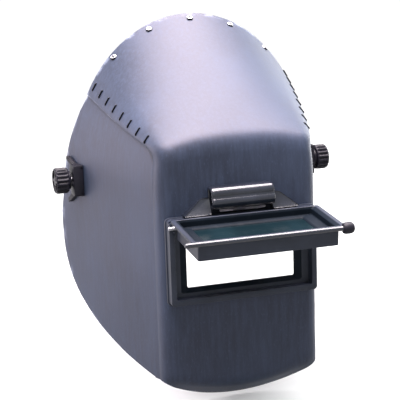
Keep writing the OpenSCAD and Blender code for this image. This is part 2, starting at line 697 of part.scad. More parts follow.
// side is -1 on the left; the teeth are on the slot's top edge (edge = 1) or bottom edge
module rack(k, side, edge) {
    r0 = rack_in[k];
    r1 = r0 + strap_t;
    pitch = 360 * pinion_r / (r0 + strap_t / 2) / tooth_n;
    z = band_h / 2 - 1;
    low = edge > 0 ? -slot_far : -slot_near;
    high = edge > 0 ? slot_near : slot_far;
    color(black) difference() {
        side_arc(side, r0, r1, -z, z, -rack_tip, rack_tail);
        side_arc(side, r0 - 1, r1 + 1, low, high, -13, 14);
        side_arc(side, r0 - 1, r1 + 1, -2.8, 2.8, button_a - 6.5, button_a + 6.5);
        for (i = [-4:4]) translate([0, band_s, 0]) rotate([0, 0, i * pitch])
            translate([-notch_hw, r0 - 1, edge > 0 ? slot_near - 1 : -pinion_r - notch_hw])
                cube([2 * notch_hw, strap_t + 2, pinion_r + notch_hw - slot_near + 1]);
    }
}
// An arc on the back of the oval, from angle a0 to a1 towards that side
module side_arc(side, r0, r1, z0, z1, a0, a1) {
    if (side < 0) arc(band_s, r0, r1, z0, z1, 90 + a0, 90 + a1);
    else arc(band_s, r0, r1, z0, z1, 90 - a1, 90 - a0);
}
module rack_left() { rack(0, -1, 1); }
module rack_right() { rack(1, 1, -1); }

gear_y0 = band_s + rack_in[0] - 0.2;
gear_y1 = band_s + rack_in[1] + strap_t - 0.15;
cover_y1 = gear_y1 + 3.2;
module y_rod(y0, y1, r) { translate([0, y0, 0]) rotate([-90, 0, 0]) cylinder(y1 - y0, r = r); }
module ratchet_pinion() {
    color(black) {
        y_rod(gear_y0, gear_y1, pinion_r - 1.4);
        y_rod(gear_y0, cover_y1 + 3, 2.5);
        for (i = [0:tooth_n - 1]) rotate([0, i * 360 / tooth_n, 0]) {
            translate([-tooth_r, gear_y0, 0]) cube([2 * tooth_r, gear_y1 - gear_y0, pinion_r]);
            translate([0, 0, pinion_r]) y_rod(gear_y0, gear_y1, tooth_r);
        }
    }
}
cover_a = 22; // half the angle that the covers span
cover_hz = band_h / 2 + 4;
cover_screw_a = 19;
module at_cover_screws() {
    for (a = [-cover_screw_a, cover_screw_a], sz = [-1, 1]) translate([0, band_s, 0]) rotate([0, 0, a])
        translate([0, band_r, sz * (band_h / 2 + 1.8)]) rotate([-90, 0, 0]) children();
}
module nape_cover_inner() {
    color(black) difference() {
        arc(band_s, band_r - 3.2, band_r + strap_t, -cover_hz, cover_hz, 90 - cover_a, 90 + cover_a);
        at_cover_screws() cylinder(20, r = 1.05, center = true);
    }
}
module nape_cover_outer() {
    r1 = rack_in[1] + strap_t + 0.35;
    color(black) difference() {
        union() {
            arc(band_s, r1, r1 + 2.6, -cover_hz, cover_hz, 90 - cover_a, 90 + cover_a);
            for (z = [-cover_hz, band_h / 2 - 0.4])
                arc(band_s, band_r + strap_t + 0.05, r1 + 0.1, z, z + cover_hz - band_h / 2 + 0.4,
                    90 - cover_a, 90 + cover_a);
        }
        y_rod(60, 140, 2.5 + slack);
        at_cover_screws() translate([0, 0, -5]) cylinder(30, r = 1.15);
    }
}
module nape_screws() {
    head = rack_in[1] + strap_t + 0.35 + 2.6 - band_r;
    color(steel) at_cover_screws() {
        translate([0, 0, -2]) cylinder(head + 2.3, r = 1);
        translate([0, 0, head + 0.25]) cylinder(1.2, r = 2);
    }
}
module nape_pad() {
    hz = band_h / 2 + 1;
    half_a = cover_a + 4;
    color(foam) arc(band_s, band_r - 8.5, band_r - 3.5, -hz, hz, 90 - half_a, 90 + half_a);
}
grip_r = 17;
grip_n = 20;
module ratchet_knob() {
    y0 = cover_y1 + 0.4;
    color(black) difference() {
        union() {
            y_rod(y0, y0 + 11, grip_r - 0.8);
            for (i = [0:grip_n - 1]) rotate([0, i * 360 / grip_n, 0]) translate([0, y0 + 0.8, grip_r - 1.4])
                rotate([-90, 0, 0]) cylinder(9.4, r = 1.4, $fn = 16);
        }
        translate([0, y0 + 9, 0]) rotate([-90, 0, 0]) cylinder(4, r = grip_r - 5);
        y_rod(y0 - 1, cover_y1 + 3.1, 2.5 + 0.02);
    }
}

shell();
crown_band();
crown_rivets();
seam_staples(true);  // seam_staples_left
seam_staples(false);  // seam_staples_right
lens_frame();
spring_housing();
detent_spring();
hinge_pin();
lens_retainer();
retainer_screws();
clear_lens();
clear_lens_gasket();
clear_lens_spring();
stop_plate(true);  // stop_plate_left
stop_plate(false);  // stop_plate_right
pivot_wedge(true);  // pivot_wedge_left
pivot_wedge(false);  // pivot_wedge_right
lid();
lid_cover_glass();
filter_glass();
lid_gasket();
lid_spring();
headband();
brow_pad();
crown_strap_left();
crown_strap_right();
side_arm(true);  // side_arm_left
side_arm(false);  // side_arm_right
arm_rivets(true);  // arm_rivets_left
arm_rivets(false);  // arm_rivets_right
pivot_stud(true);  // pivot_stud_left
pivot_stud(false);  // pivot_stud_right
friction_washer(true);  // friction_washer_left
friction_washer(false);  // friction_washer_right
tension_knob(true);  // tension_knob_left
tension_knob(false);  // tension_knob_right
nape_cover_inner();
nape_cover_outer();
nape_screws();
nape_pad();
rack_left();
rack_right();
ratchet_pinion();
ratchet_knob();
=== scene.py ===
"""Lift-front welding helmet: the finished look of a folded fibre shell, its flip-up
lens and its ratchet headgear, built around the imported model. Lengths are in
millimetres until a piece is made; the frame and every finished mesh are in metres."""
import math

import bmesh
import bpy
from mathutils import Matrix, Vector, noise


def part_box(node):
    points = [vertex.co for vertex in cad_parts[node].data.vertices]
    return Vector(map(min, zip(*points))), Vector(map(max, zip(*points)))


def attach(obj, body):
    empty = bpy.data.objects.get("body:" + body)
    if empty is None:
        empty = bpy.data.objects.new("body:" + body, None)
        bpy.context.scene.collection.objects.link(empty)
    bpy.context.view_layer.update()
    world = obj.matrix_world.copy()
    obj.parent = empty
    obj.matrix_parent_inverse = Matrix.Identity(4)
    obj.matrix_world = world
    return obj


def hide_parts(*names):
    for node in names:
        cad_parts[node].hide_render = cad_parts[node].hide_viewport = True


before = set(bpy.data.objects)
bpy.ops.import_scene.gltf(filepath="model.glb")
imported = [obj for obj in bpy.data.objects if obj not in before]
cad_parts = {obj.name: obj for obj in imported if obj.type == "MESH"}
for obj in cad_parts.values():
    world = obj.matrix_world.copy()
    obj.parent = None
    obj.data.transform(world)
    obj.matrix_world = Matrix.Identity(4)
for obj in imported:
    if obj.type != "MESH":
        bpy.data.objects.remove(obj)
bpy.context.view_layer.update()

bl_info = {
    "name": "Welding Helmet",
    "version": (1, 0, 0),
    "blender": (4, 5, 0),
    "location": "View3D > Sidebar > Helmet",
    "description": "Builds a lift-front welding helmet with its headgear and studio",
    "category": "Add Mesh",
}

MM = 0.001
SHELL, LID, HEADGEAR = "helmet_shell", "flip_lid", "headgear"

# ---- sizes shared by several pieces, as in the part's source ----
FACE = Vector((0, -138, -50))  # window centre on the front panel's outer plane
FACE_HX, CORNER, ARCH_HX = 72.0, 13.0, 112.0
SHELL_WALL = 2.0
SHOULDER_H, LEAN_FRONT = 60.0, 120.0
SIDE_BOW = 0.12
FOLD_H, FOLD_DROP, FOLD_T = 102.0, 7.0, 12.0
CROWN_H, CROWN_BACK = 198.0, 128.0
SIDE_BACK, CHIN_H = 156.0, 128.0
SEAM_RISE, RIM_SHORT = 36.0, 14.0
REAR_MID, JAW_H = 20.0, CHIN_H - 24
LIP_BACK, LIP_DROP = 22.0, 15.0
FOLD_CORNER = FOLD_H - FOLD_DROP
SEAM_TOP = FOLD_CORNER + SEAM_RISE
REAR_LOW = SEAM_TOP - RIM_SHORT

PIN_Y, PIN_Z = -11.0, 34.1  # hinge pin, from the window centre
LID_SLOPE = 5.5
PIVOT = Vector((0, -15, 6))


def lerp(a, b, t):
    return a + (b - a) * t


def smooth(t):
    t = min(1.0, max(0.0, t))
    return t * t * (3 - 2 * t)


# ---- the shell's surface, in the face frame ----
def side_x(y):
    t = (y - CORNER) / (CROWN_BACK - CORNER)
    return lerp(FACE_HX, ARCH_HX, t * (1 + SIDE_BOW) - SIDE_BOW * t * t)


def lean(y, z):
    h = lerp(LEAN_FRONT, CROWN_H - SHOULDER_H, (y - CORNER) / (CROWN_BACK - CORNER))
    return math.sqrt(max(0.0, 1 - ((z - SHOULDER_H) / h) ** 2)) if z > SHOULDER_H else 1.0


def side_pt(y, z):
    return Vector((side_x(y) * lean(y, z), y, z))


SEAM_TOP_X = side_pt(CROWN_BACK, SEAM_TOP).x


def rear_y(z):
    if z > REAR_MID:
        return lerp(SIDE_BACK, CROWN_BACK, (z - REAR_MID) / (SEAM_TOP - REAR_MID))
    d = min((REAR_MID - z) / (REAR_MID + JAW_H), 0.9999)
    return lerp(CORNER, SIDE_BACK, (1 - d ** 3) ** 0.86)


def bend_y(s):
    u = s * FACE_HX - (FACE_HX - CORNER)
    return 0.0 if u <= 0 else CORNER - math.sqrt(max(0.0, CORNER * CORNER - u * u))


def column(s, v):
    """Depth and height of the surface: s is 0 at the middle of the front and 1 at the
    corner, v climbs the lip (0 to 1), the front (to 2), the fold (to 3) and the forehead."""
    s = abs(s)
    dip = 1 - s * s
    y = bend_y(s)
    lip = Vector((y + LIP_BACK * dip, -JAW_H - (CHIN_H - JAW_H) * dip))
    crease = Vector((y, -JAW_H + 7 - (CHIN_H - JAW_H - LIP_DROP + 7) * dip))
    fold = Vector((y, FOLD_CORNER + FOLD_DROP * (1 - s ** 2.5)))
    arch = math.sqrt(1 - (s * SEAM_TOP_X / ARCH_HX) ** 2)
    rim = Vector((CROWN_BACK, SHOULDER_H + (CROWN_H - SHOULDER_H) * arch))
    k0 = fold + (crease - fold).normalized() * FOLD_T
    k1 = fold + (rim - fold).normalized() * FOLD_T
    if v <= 1:
        return lip.lerp(crease, v)
    if v <= 2:
        return crease.lerp(k0, v - 1)
    if v <= 3:
        t = v - 2
        return k0.lerp(fold, t).lerp(fold.lerp(k1, t), t)
    return k1.lerp(rim, v - 3)


def corner_pt(v):
    q = column(1, v)
    return side_pt(q.x, q.y)


def front_pt(s, v):
    q = column(s, v)
    return Vector((s * corner_pt(v).x, q.x, q.y))


def front_n(s, v, e=0.01):
    along_s = front_pt(s + e, v) - front_pt(s - e, v)
    along_v = front_pt(s, v + e) - front_pt(s, v - e)
    return along_s.cross(along_v).normalized()


# ---- shader writing ----
class Val:
    """A socket of a material; sums on it add Math nodes."""

    def __init__(self, finish, socket):
        self.finish = finish
        self.socket = socket

    def _math(self, operation, *terms):
        return self.finish.node("ShaderNodeMath", {"operation": operation}, dict(enumerate(terms)))

    def __add__(self, other):
        return self._math("ADD", self, other)

    __radd__ = __add__

    def __sub__(self, other):
        return self._math("SUBTRACT", self, other)

    def __rsub__(self, other):
        return self._math("SUBTRACT", other, self)

    def __mul__(self, other):
        return self._math("MULTIPLY", self, other)

    __rmul__ = __mul__

    def over(self, low, high):
        """0 below low, 1 above high and smooth between."""
        return self.finish.node("ShaderNodeMapRange", {"interpolation_type": "SMOOTHSTEP"},
                                {"Value": self, "From Min": low, "From Max": high})

    def least(self, other):
        return self._math("MINIMUM", self, other)

    def wave(self):
        return self._math("SINE", self)


class Finish:
    """A material under construction, with one Principled shader."""

    def __init__(self, name, **constants):
        self.material = bpy.data.materials.new(name)
        self.material.use_nodes = True
        self.tree = self.material.node_tree
        self.shader = self.tree.nodes["Principled BSDF"]
        for key, value in constants.items():
            self.shader.inputs[key.replace("_", " ")].default_value = value

    def node(self, kind, settings=None, sockets=None, out=0):
        made = self.tree.nodes.new(kind)
        for key, value in (settings or {}).items():
            setattr(made, key, value)
        for key, value in (sockets or {}).items():
            self.feed(made.inputs[key], value)
        return Val(self, made.outputs[out])

    def feed(self, socket, value):
        if isinstance(value, Val):
            self.tree.links.new(value.socket, socket)
        else:
            socket.default_value = value

    def put(self, **sockets):
        for key, value in sockets.items():
            self.feed(self.shader.inputs[key.replace("_", " ")], value)
        return self.material

    def noise(self, scale, detail=4.0, stretch=(1, 1, 1), rough=0.55):
        """Noise over the object's position in metres, scaled by stretch on each axis."""
        spot = self.node("ShaderNodeTexCoord", out="Object")
        place = self.node("ShaderNodeMapping", {"vector_type": "POINT"}, {"Vector": spot, "Scale": stretch})
        return self.node("ShaderNodeTexNoise", {"noise_dimensions": "3D"},
                         {"Vector": place, "Scale": scale, "Detail": detail, "Roughness": rough})

    def blend(self, factor, low, high):
        mixed = self.tree.nodes.new("ShaderNodeMix")
        mixed.data_type = "RGBA"
        mixed.clamp_factor = True
        self.feed(mixed.inputs[0], factor)
        self.feed(mixed.inputs[6], low if isinstance(low, Val) else (*low, 1))
        self.feed(mixed.inputs[7], high if isinstance(high, Val) else (*high, 1))
        return Val(self, mixed.outputs[2])

    def axis(self, which):
        """One coordinate of the object's position: 0, 1 or 2 for X, Y or Z."""
        spot = self.node("ShaderNodeTexCoord", out="Object")
        return self.node("ShaderNodeSeparateXYZ", None, {0: spot}, out=which)

    def marked(self, name):
        """A mark painted on the mesh's corners, from 0 to 1."""
        return self.node("ShaderNodeAttribute", {"attribute_name": name}, out="Fac")

    def relief(self, height, depth, strength=1.0):
        """Surface relief; depth is in millimetres."""
        return self.node("ShaderNodeBump", None,
                         {"Height": height, "Distance": depth * MM, "Strength": strength})


# ---- finishes ----
def times(colour, by, plus=0.0):
    return tuple(c * by + plus for c in colour)


def fibre_finish(settings):
    """Pressed fibre with the dye right through: fine upright grain, clouded gloss, paler worn edges, and painted
    shadow on the side panels along the crown flap's edges.
    """
    f = Finish("pressed_fibre", Specular_IOR_Level=0.22, Specular_Tint=(1.0, 0.91, 0.99, 1))
    base = tuple(settings.fibre_colour)
    grain = f.noise(330, 5, (1, 1, 0.12), 0.65)
    clouds = f.noise(9, 4, (1, 1, 0.55))
    fleck = f.noise(900, 2, (1, 1, 0.35)).over(0.56, 0.75)
    dye_and_shadow = f.blend(grain.over(0.35, 0.7), times(base, 0.66), base)
    dye_and_shadow = f.blend(clouds.over(0.4, 0.72) * 0.5, dye_and_shadow, times(base, 1.55))
    dye_and_shadow = f.blend(fleck * 0.3, dye_and_shadow, times(base, 2.0))
    edge = f.marked("edge")
    shade = f.marked("seam_shadow")
    scuff = f.noise(70, 5).over(0.45, 0.68)
    dye_and_shadow = f.blend(edge * scuff * 0.55, dye_and_shadow, (0.20, 0.23, 0.29))
    # painted shadow: the seam mark darkens the fibre to near black beside the crown flap's edges
    dye_and_shadow = f.blend((shade * 1.6).least(1.0), dye_and_shadow, (0.0015, 0.0018, 0.003))
    gloss = 0.43 + grain * 0.10 + clouds * 0.10 - edge * 0.04
    relief = f.relief(grain * 0.6 + f.noise(1500, 2, (1, 1, 0.4)) * 0.4, 0.16, 0.55)
    return f.put(Base_Color=dye_and_shadow, Roughness=gloss, Normal=relief)


def moulded_finish(name, colour, rough, grain, specular):
    """Moulded plastic: spark-eroded skin, faint flow marks and rubbed patches."""
    f = Finish(name, Specular_IOR_Level=specular)
    sparked = f.noise(2100, 2)
    flow = f.noise(35, 4, (1, 0.35, 1))
    rub = f.noise(160, 6).over(0.55, 0.8)
    tone = f.blend(flow.over(0.35, 0.7), times(colour, 0.82), times(colour, 1.16))
    tone = f.blend(rub * 0.22, tone, times(colour, 1.5, 0.012))
    return f.put(Base_Color=tone, Roughness=rough + flow * 0.12 - rub * 0.06,
                 Normal=f.relief(sparked + rub * 0.5, grain * 0.6, 0.5))


def steel_finish(name="plated_steel", colour=(0.36, 0.36, 0.39)):
    """Plated steel: drawn along its length, slightly dulled in patches."""
    f = Finish(name, Metallic=1.0)
    drawn = f.noise(700, 3, (0.15, 1, 1))
    dull = f.noise(120, 5).over(0.5, 0.8)
    return f.put(Base_Color=f.blend(dull * 0.5, colour, times(colour, 0.55)),
                 Roughness=0.24 + drawn * 0.14 + dull * 0.18, Normal=f.relief(drawn, 0.03, 0.4))


def glass_finish(name, tint, see=1.0, rough=0.02):
    """Ground and polished glass with a trace of dust."""
    f = Finish(name, Transmission_Weight=see, IOR=1.5)
    dust = f.noise(420, 6).over(0.62, 0.85)
    return f.put(Base_Color=f.blend(dust * 0.06, tint, (0.7, 0.7, 0.7)), Roughness=rough + dust * 0.08)


def rubber_finish():
    """Gasket rubber with a pale bloom."""
    f = Finish("gasket", Specular_IOR_Level=0.35)
    bloom = f.noise(240, 5)
    return f.put(Base_Color=f.blend(bloom.over(0.4, 0.8), (0.018, 0.018, 0.019), (0.05, 0.05, 0.052)),
                 Roughness=0.62 + bloom * 0.2, Normal=f.relief(f.noise(1800, 2), 0.05))


def washer_finish():
    """Brown friction fibre."""
    f = Finish("friction_fibre")
    fibre = f.noise(900, 4, (1, 0.3, 1))
    return f.put(Base_Color=f.blend(fibre, (0.16, 0.10, 0.06), (0.36, 0.26, 0.17)),
                 Roughness=0.8 + fibre * 0.1, Normal=f.relief(fibre, 0.15))


def weave_finish():
    """Plain-weave cover: over and under threads with loose fibres and stitched seams."""
    f = Finish("pad_foam", Sheen_Weight=0.5, Sheen_Roughness=0.5)
    colour = (0.030, 0.031, 0.036)
    pitch = 2 * math.pi / (0.9 * MM)
    warp = (f.axis(0) * pitch).wave()
    weft = (f.axis(2) * pitch).wave()
    depth = f.axis(1) * (pitch * 0.5)
    cross = warp * weft * 0.5 + depth.wave() * 0.15 + 0.5
    fuzz = f.noise(1300, 3)
    wear = f.noise(60, 5).over(0.45, 0.75)
    tone = f.blend(cross, times(colour, 0.5), times(colour, 1.8))
    tone = f.blend(wear * 0.35, tone, times(colour, 2.2, 0.01))
    tone = f.blend(f.marked("stitch"), tone, (0.16, 0.16, 0.17))
    return f.put(Base_Color=tone, Roughness=0.82 + fuzz * 0.14,
                 Normal=f.relief(cross + fuzz * 0.5, 0.35, 0.8))


def floor_finish(colour):
    """A plain pale floor, very slightly uneven."""
    f = Finish("studio_floor", Specular_IOR_Level=0.2)
    patch = f.noise(1.5, 3)
    tone = f.blend(patch, tuple(colour), tuple(min(1.0, c * 1.02) for c in colour))
    return f.put(Base_Color=tone, Roughness=0.85 + patch * 0.1)


FINISHES = {}


def finish(name):
    """The finish of that name, made when it is first asked for."""
    if name not in FINISHES:
        look = bpy.context.scene.helmet_colours
        grey, black = look.frame_colour, look.black_colour
        FINISHES[name] = {
            "fibre": lambda: fibre_finish(look),
            "frame": lambda: moulded_finish("frame_plastic", tuple(grey), 0.32, 0.08, 0.16),
            "housing": lambda: moulded_finish("housing_plastic", times(grey, 0.6), 0.15, 0.04, 0.4),
            # painted shade: a near-black plastic put on recesses, hollows and end faces to make them read as
            # shaded
            "pocket": lambda: moulded_finish("pocket_painted_shade", (0.003, 0.005, 0.008), 0.45, 0.1, 0.04),
            "black": lambda: moulded_finish("black_plastic", tuple(black), 0.38, 0.07, 0.1),
            "knob": lambda: moulded_finish("knob_plastic", times(black, 1.05), 0.3, 0.05, 0.09),
            "strap": lambda: moulded_finish("strap_plastic", times(black, 2.2), 0.42, 0.12, 0.3),
            "steel": steel_finish,
            # darker steel: the staples' own colour, and painted shade on the rivets' sides and undersides
            "dark_steel_and_shade": lambda: steel_finish("dark_steel_and_shade", (0.010, 0.010, 0.012)),
            "cover": lambda: moulded_finish("cover_glass", (0.0022, 0.006, 0.008), 0.16, 0.0, 0.04),
            "clear": lambda: glass_finish("clear_glass", (0.97, 0.985, 0.98)),
            "shade": lambda: glass_finish("shade_glass", (0.004, 0.012, 0.012), 0.0, 0.06),
            "rubber": rubber_finish,
            "washer": washer_finish,
            "weave": weave_finish,
        }[name]()
    return FINISHES[name]


# ---- making meshes ----
def skin(rows, around=True, loop=False, caps=True):
    """Points and faces of a surface through equal rows of points."""
    n = len(rows[0])
    points = [p for row in rows for p in row]
    faces = []
    for i in range(len(rows) - (0 if loop else 1)):
        a, b = i * n, (i + 1) % len(rows) * n
        for j in range(n if around else n - 1):
            k = (j + 1) % n
            faces.append((a + j, a + k, b + k, b + j))
    if around and caps and not loop:
        faces.append(tuple(reversed(range(n))))
        faces.append(tuple(range((len(rows) - 1) * n, len(rows) * n)))
    return points, faces


def joined(*parts):
    points, faces = [], []
    for more_points, more_faces in parts:
        shift = len(points)
        points += more_points
        faces += [tuple(i + shift for i in f) for f in more_faces]
    return points, faces


def moved(part, matrix):
    return [matrix @ p for p in part[0]], part[1]


def eased(corners, size, steps=3, loop=True):
    """The chain of points with each corner rounded over about that size."""
    out = []
    last = len(corners) - 1
    for i, c in enumerate(corners):
        if not loop and i in (0, last):
            out.append(c.copy())
            continue
        back, ahead = corners[i - 1] - c, corners[(i + 1) % len(corners)] - c
        p = c + back * min(size / back.length, 0.45)
        q = c + ahead * min(size / ahead.length, 0.45)
        out += [p.lerp(c, k / steps).lerp(c.lerp(q, k / steps), k / steps) for k in range(steps + 1)]
    return out


def rounded_ring(hx, low, high, r, depth, steps=6):
    """A rounded rectangle: x across, low to high along the second axis, at that depth."""
    ring = []
    left, right, bottom, top = r - hx, hx - r, low + r, high - r
    for cx, cz, start in ((right, top, 0), (left, top, 90), (left, bottom, 180), (right, bottom, 270)):
        for k in range(steps + 1):
            a = math.radians(start + 90 * k / steps)
            ring.append(Vector((cx + r * math.cos(a), depth, cz + r * math.sin(a))))
    return ring


def nested(rings, ease=0.5, steps=2, loop=True):
    """A moulded body from rounded rectangles, one inside the other, with eased edges."""
    soft = eased([Vector(r) for r in rings], ease, steps, loop)
    return skin([rounded_ring(*r) for r in soft], loop=loop)


def prism(outline, low, high, ease=0.6, corner=0.8):
    """An outline in Y and Z given thickness along X, from low(y, z) to high(y, z)."""
    soft = eased([Vector(p) for p in outline], corner, 2)
    mid = sum(soft, Vector((0, 0))) / len(soft)

    def row(level, pull):
        ring = []
        for p in soft:
            q = p + (mid - p).normalized() * pull
            ring.append(Vector((lerp(low(*q), high(*q), level[0]) + level[1], q.x, q.y)))
        return ring

    levels = [((0, 0), ease), ((0, ease * 0.3), ease * 0.3), ((0, ease), 0),
              ((1, -ease), 0), ((1, -ease * 0.3), ease * 0.3), ((1, 0), ease)]
    return skin([row(level, pull) for level, pull in levels])


def lathe(profile, n=48, ripple=None):
    """A turned body about Z from (radius, height) pairs; ripple(angle, height) adds to the radius."""
    rows = []
    for r, h in profile:
        row = []
        for k in range(n):
            a = 2 * math.pi * k / n
            reach = r + (ripple(a, h) if ripple else 0)
            row.append(Vector((reach * math.cos(a), reach * math.sin(a), h)))
        rows.append(row)
    return skin(rows)


def sweep(section, frames, loop=False):
    """A section of (a, b) pairs carried along frames of (origin, a axis, b axis)."""
    return skin([[o + u * a + v * b for a, b in section] for o, u, v in frames], loop=loop)


def round_section(r, n=12):
    return [(r * math.cos(2 * math.pi * k / n), r * math.sin(2 * math.pi * k / n)) for k in range(n)]


def tube(path, r, n=12, loop=False):
    """A round wire along a path of points."""
    frames = []
    side = None
    for i, p in enumerate(path):
        ahead = path[(i + 1) % len(path)] if loop or i + 1 < len(path) else p
        behind = path[i - 1] if loop or i else p
        run = (ahead - behind).normalized()
        if side is None:
            side = run.orthogonal().normalized()
        side = (side - run * side.dot(run)).normalized()
        frames.append((p, side, run.cross(side)))
    return sweep(round_section(r, n), frames, loop)


def block(low, high):
    x0, y0, z0 = low
    x1, y1, z1 = high
    points = [Vector((x, y, z)) for z in (z0, z1) for x, y in ((x0, y0), (x1, y0), (x1, y1), (x0, y1))]
    return points, [(3, 2, 1, 0), (4, 5, 6, 7), (0, 1, 5, 4), (1, 2, 6, 5), (2, 3, 7, 6), (3, 0, 4, 7)]


def as_mesh(name, part):
    mesh = bpy.data.meshes.new(name)
    mesh.from_pydata([p * MM for p in part[0]], [], part[1])
    bm = bmesh.new()
    bm.from_mesh(mesh)
    bmesh.ops.recalc_face_normals(bm, faces=bm.faces)
    bm.to_mesh(mesh)
    bm.free()
    return mesh


def carved(part, *cutters):
    """The part's mesh with other solids cut away."""
    scene = bpy.context.scene
    blank = bpy.data.objects.new("blank", as_mesh("blank", part))
    scene.collection.objects.link(blank)
    tools = []
    for cutter in cutters:
        tool = bpy.data.objects.new("cutter", as_mesh("cutter", cutter))
        scene.collection.objects.link(tool)
        cut = blank.modifiers.new("cut", "BOOLEAN")
        cut.operation = "DIFFERENCE"
        cut.solver = "EXACT"
        cut.object = tool
        tools.append(tool)
    bpy.context.view_layer.update()
    mesh = bpy.data.meshes.new_from_object(blank.evaluated_get(bpy.context.evaluated_depsgraph_get()))
    for spare in [blank] + tools:
        bpy.data.objects.remove(spare)
    return mesh


def piece(name, part, body, look, replaces=(), crease=32):
    """A finished piece from points and faces, or from a mesh already in metres."""
    mesh = part if isinstance(part, bpy.types.Mesh) else as_mesh(name, part)
    mesh.name = name
    obj = bpy.data.objects.new(name, mesh)
    bpy.context.scene.collection.objects.link(obj)
    mesh.materials.clear()
    mesh.materials.append(finish(look))
    mesh.shade_smooth()
    mesh.set_sharp_from_angle(angle=math.radians(crease))
    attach(obj, body)
    if replaces:
        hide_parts(*replaces)
    return obj


def mark(mesh, name, strength):
    """Writes a 0 to 1 mark on each vertex for the finishes to read."""
    layer = mesh.attributes.new(name, "FLOAT", "POINT")
    layer.data.foreach_set("value", strength)


def refinish(look, *nodes, ease=0.0):
    """Gives carried-over CAD nodes a finish, and eases their edges by some millimetres."""
    for node in nodes:
        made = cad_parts[node]
        for slot in made.material_slots:
            slot.material = finish(look)
        if ease:
            bevel = made.modifiers.new("eased", "BEVEL")
            bevel.width = ease * MM
            bevel.segments = 2
            bevel.limit_method = "ANGLE"
            bevel.angle_limit = math.radians(50)


# ---- the fibre shell ----
WINDOW_HX, WINDOW_HZ = 57.5, 28.5
WINDOW_S = WINDOW_HX / FACE_HX
SEAM_LIFT = 1.3  # the crown flap lies this far above the side panels
RIM_ROUND = 0.35
CURL_REACH = 8.0  # how far the rounding between lip and front runs each way


def bend(a, corner, b, reach, t):
    """A point on the rounded corner between two straight runs."""
    p = corner + (a - corner) * min(reach / (a - corner).length, 0.48)
    q = corner + (b - corner) * min(reach / (b - corner).length, 0.48)
    return p.lerp(corner, t).lerp(corner.lerp(q, t), t)


def shell_rows():
    """(part of the column, place in it) for each row from the lip to the crown rim."""
    rows = [("lip", k / 3) for k in range(3)]
    rows += [("curl", k / 8) for k in range(9)]
    rows += [("below", k / 12) for k in range(1, 12)]
    rows += [("window", k / 8) for k in range(9)]
    rows += [("above", k / 9) for k in range(1, 9)]
    rows += [("fold", k / 14) for k in range(15)]
    rows += [("forehead", k / 30) for k in range(1, 31)]
    return rows


def column_row(s, row):
    kind, t = row
    lip, crease, k0 = column(s, 0), column(s, 1), column(s, 2)
    start = crease + (lip - crease) * min(CURL_REACH / (lip - crease).length, 0.48)
    end = crease + (k0 - crease).normalized() * min(CURL_REACH, (k0 - crease).length * 0.48)
    if kind == "lip":
        return lip.lerp(start, t)
    if kind == "curl":
        return bend(lip, crease, k0, CURL_REACH, t)
    spans = {"below": (end.y, -WINDOW_HZ), "window": (-WINDOW_HZ, WINDOW_HZ), "above": (WINDOW_HZ, k0.y)}
    if kind in spans:
        z = lerp(*spans[kind], t)
        return end.lerp(k0, (z - end.y) / (k0.y - end.y))
    return column(s, 2 + t if kind == "fold" else 3 + t)


def shell_point(row, side, f, s):
    """A point of the shell: f runs along the side panel, or is None on the front."""
    kind, t = row
    q = column_row(1, row)
    corner = side_pt(q.x, q.y)
    if f is None:
        yz = column_row(s, row)
        return Vector((side * s * corner.x, yz.x, yz.y))
    rise = {"fold": 0.2 * t, "forehead": 0.2 + 0.8 * t}.get(kind, 0)
    z = lerp(column(1, 2).y, REAR_LOW, rise) if rise else q.y
    y = max(rear_y(z), CORNER + 6)
    p = side_pt(lerp(y, q.x, f), lerp(z, q.y, f))
    return Vector((side * p.x, p.y, p.z))


def shell_columns():
    """(side, place on the side panel, place on the front, whether it is the flap) for each
    column, and how many of them one side panel has."""
    flanks = [k / 22 for k in range(22)] + [0.975, 0.992, 1.0]
    turns = [math.sin(math.radians(90 * (1 - k / 9))) for k in range(1, 10)]
    bends = [(FACE_HX - CORNER + CORNER * turn) / FACE_HX for turn in turns]
    flats = [WINDOW_S * (1 - k / 12) for k in range(12)]
    half = [(f, None, False) for f in flanks] + [(None, s, True) for s in [1.0] + bends + flats]
    columns = [(-1, *c) for c in half] + [(1, None, 0.0, True)] + [(1, *c) for c in reversed(half)]
    return columns, len(flanks)


def sheet_faces(n_rows, n_cols, solid):
    """Faces of a sheet's outer, inner and middle grids of points. Where the sheet stops, its
    edge goes through the middle grid."""
    total = n_rows * n_cols
    faces = []
    for i in range(n_rows - 1):
        for j in range(n_cols - 1):
            if not solid(i, j):
                continue
            a = i * n_cols + j
            quad = (a, a + 1, a + n_cols + 1, a + n_cols)
            faces.append(quad)
            faces.append(tuple(reversed([q + total for q in quad])))
            for near, p, q in (((i - 1, j), a, a + 1), ((i + 1, j), a + n_cols + 1, a + n_cols),
                               ((i, j - 1), a + n_cols, a), ((i, j + 1), a + 1, a + n_cols + 1)):
                if not solid(*near):
                    faces.append((q, p, p + 2 * total, q + 2 * total))
                    faces.append((q + 2 * total, p + 2 * total, p + total, q + total))
    return faces


def drop_loose_points(mesh):
    bm = bmesh.new()
    bm.from_mesh(mesh)
    bmesh.ops.delete(bm, geom=[v for v in bm.verts if not v.link_faces], context="VERTS")
    bm.to_mesh(mesh)
    bm.free()


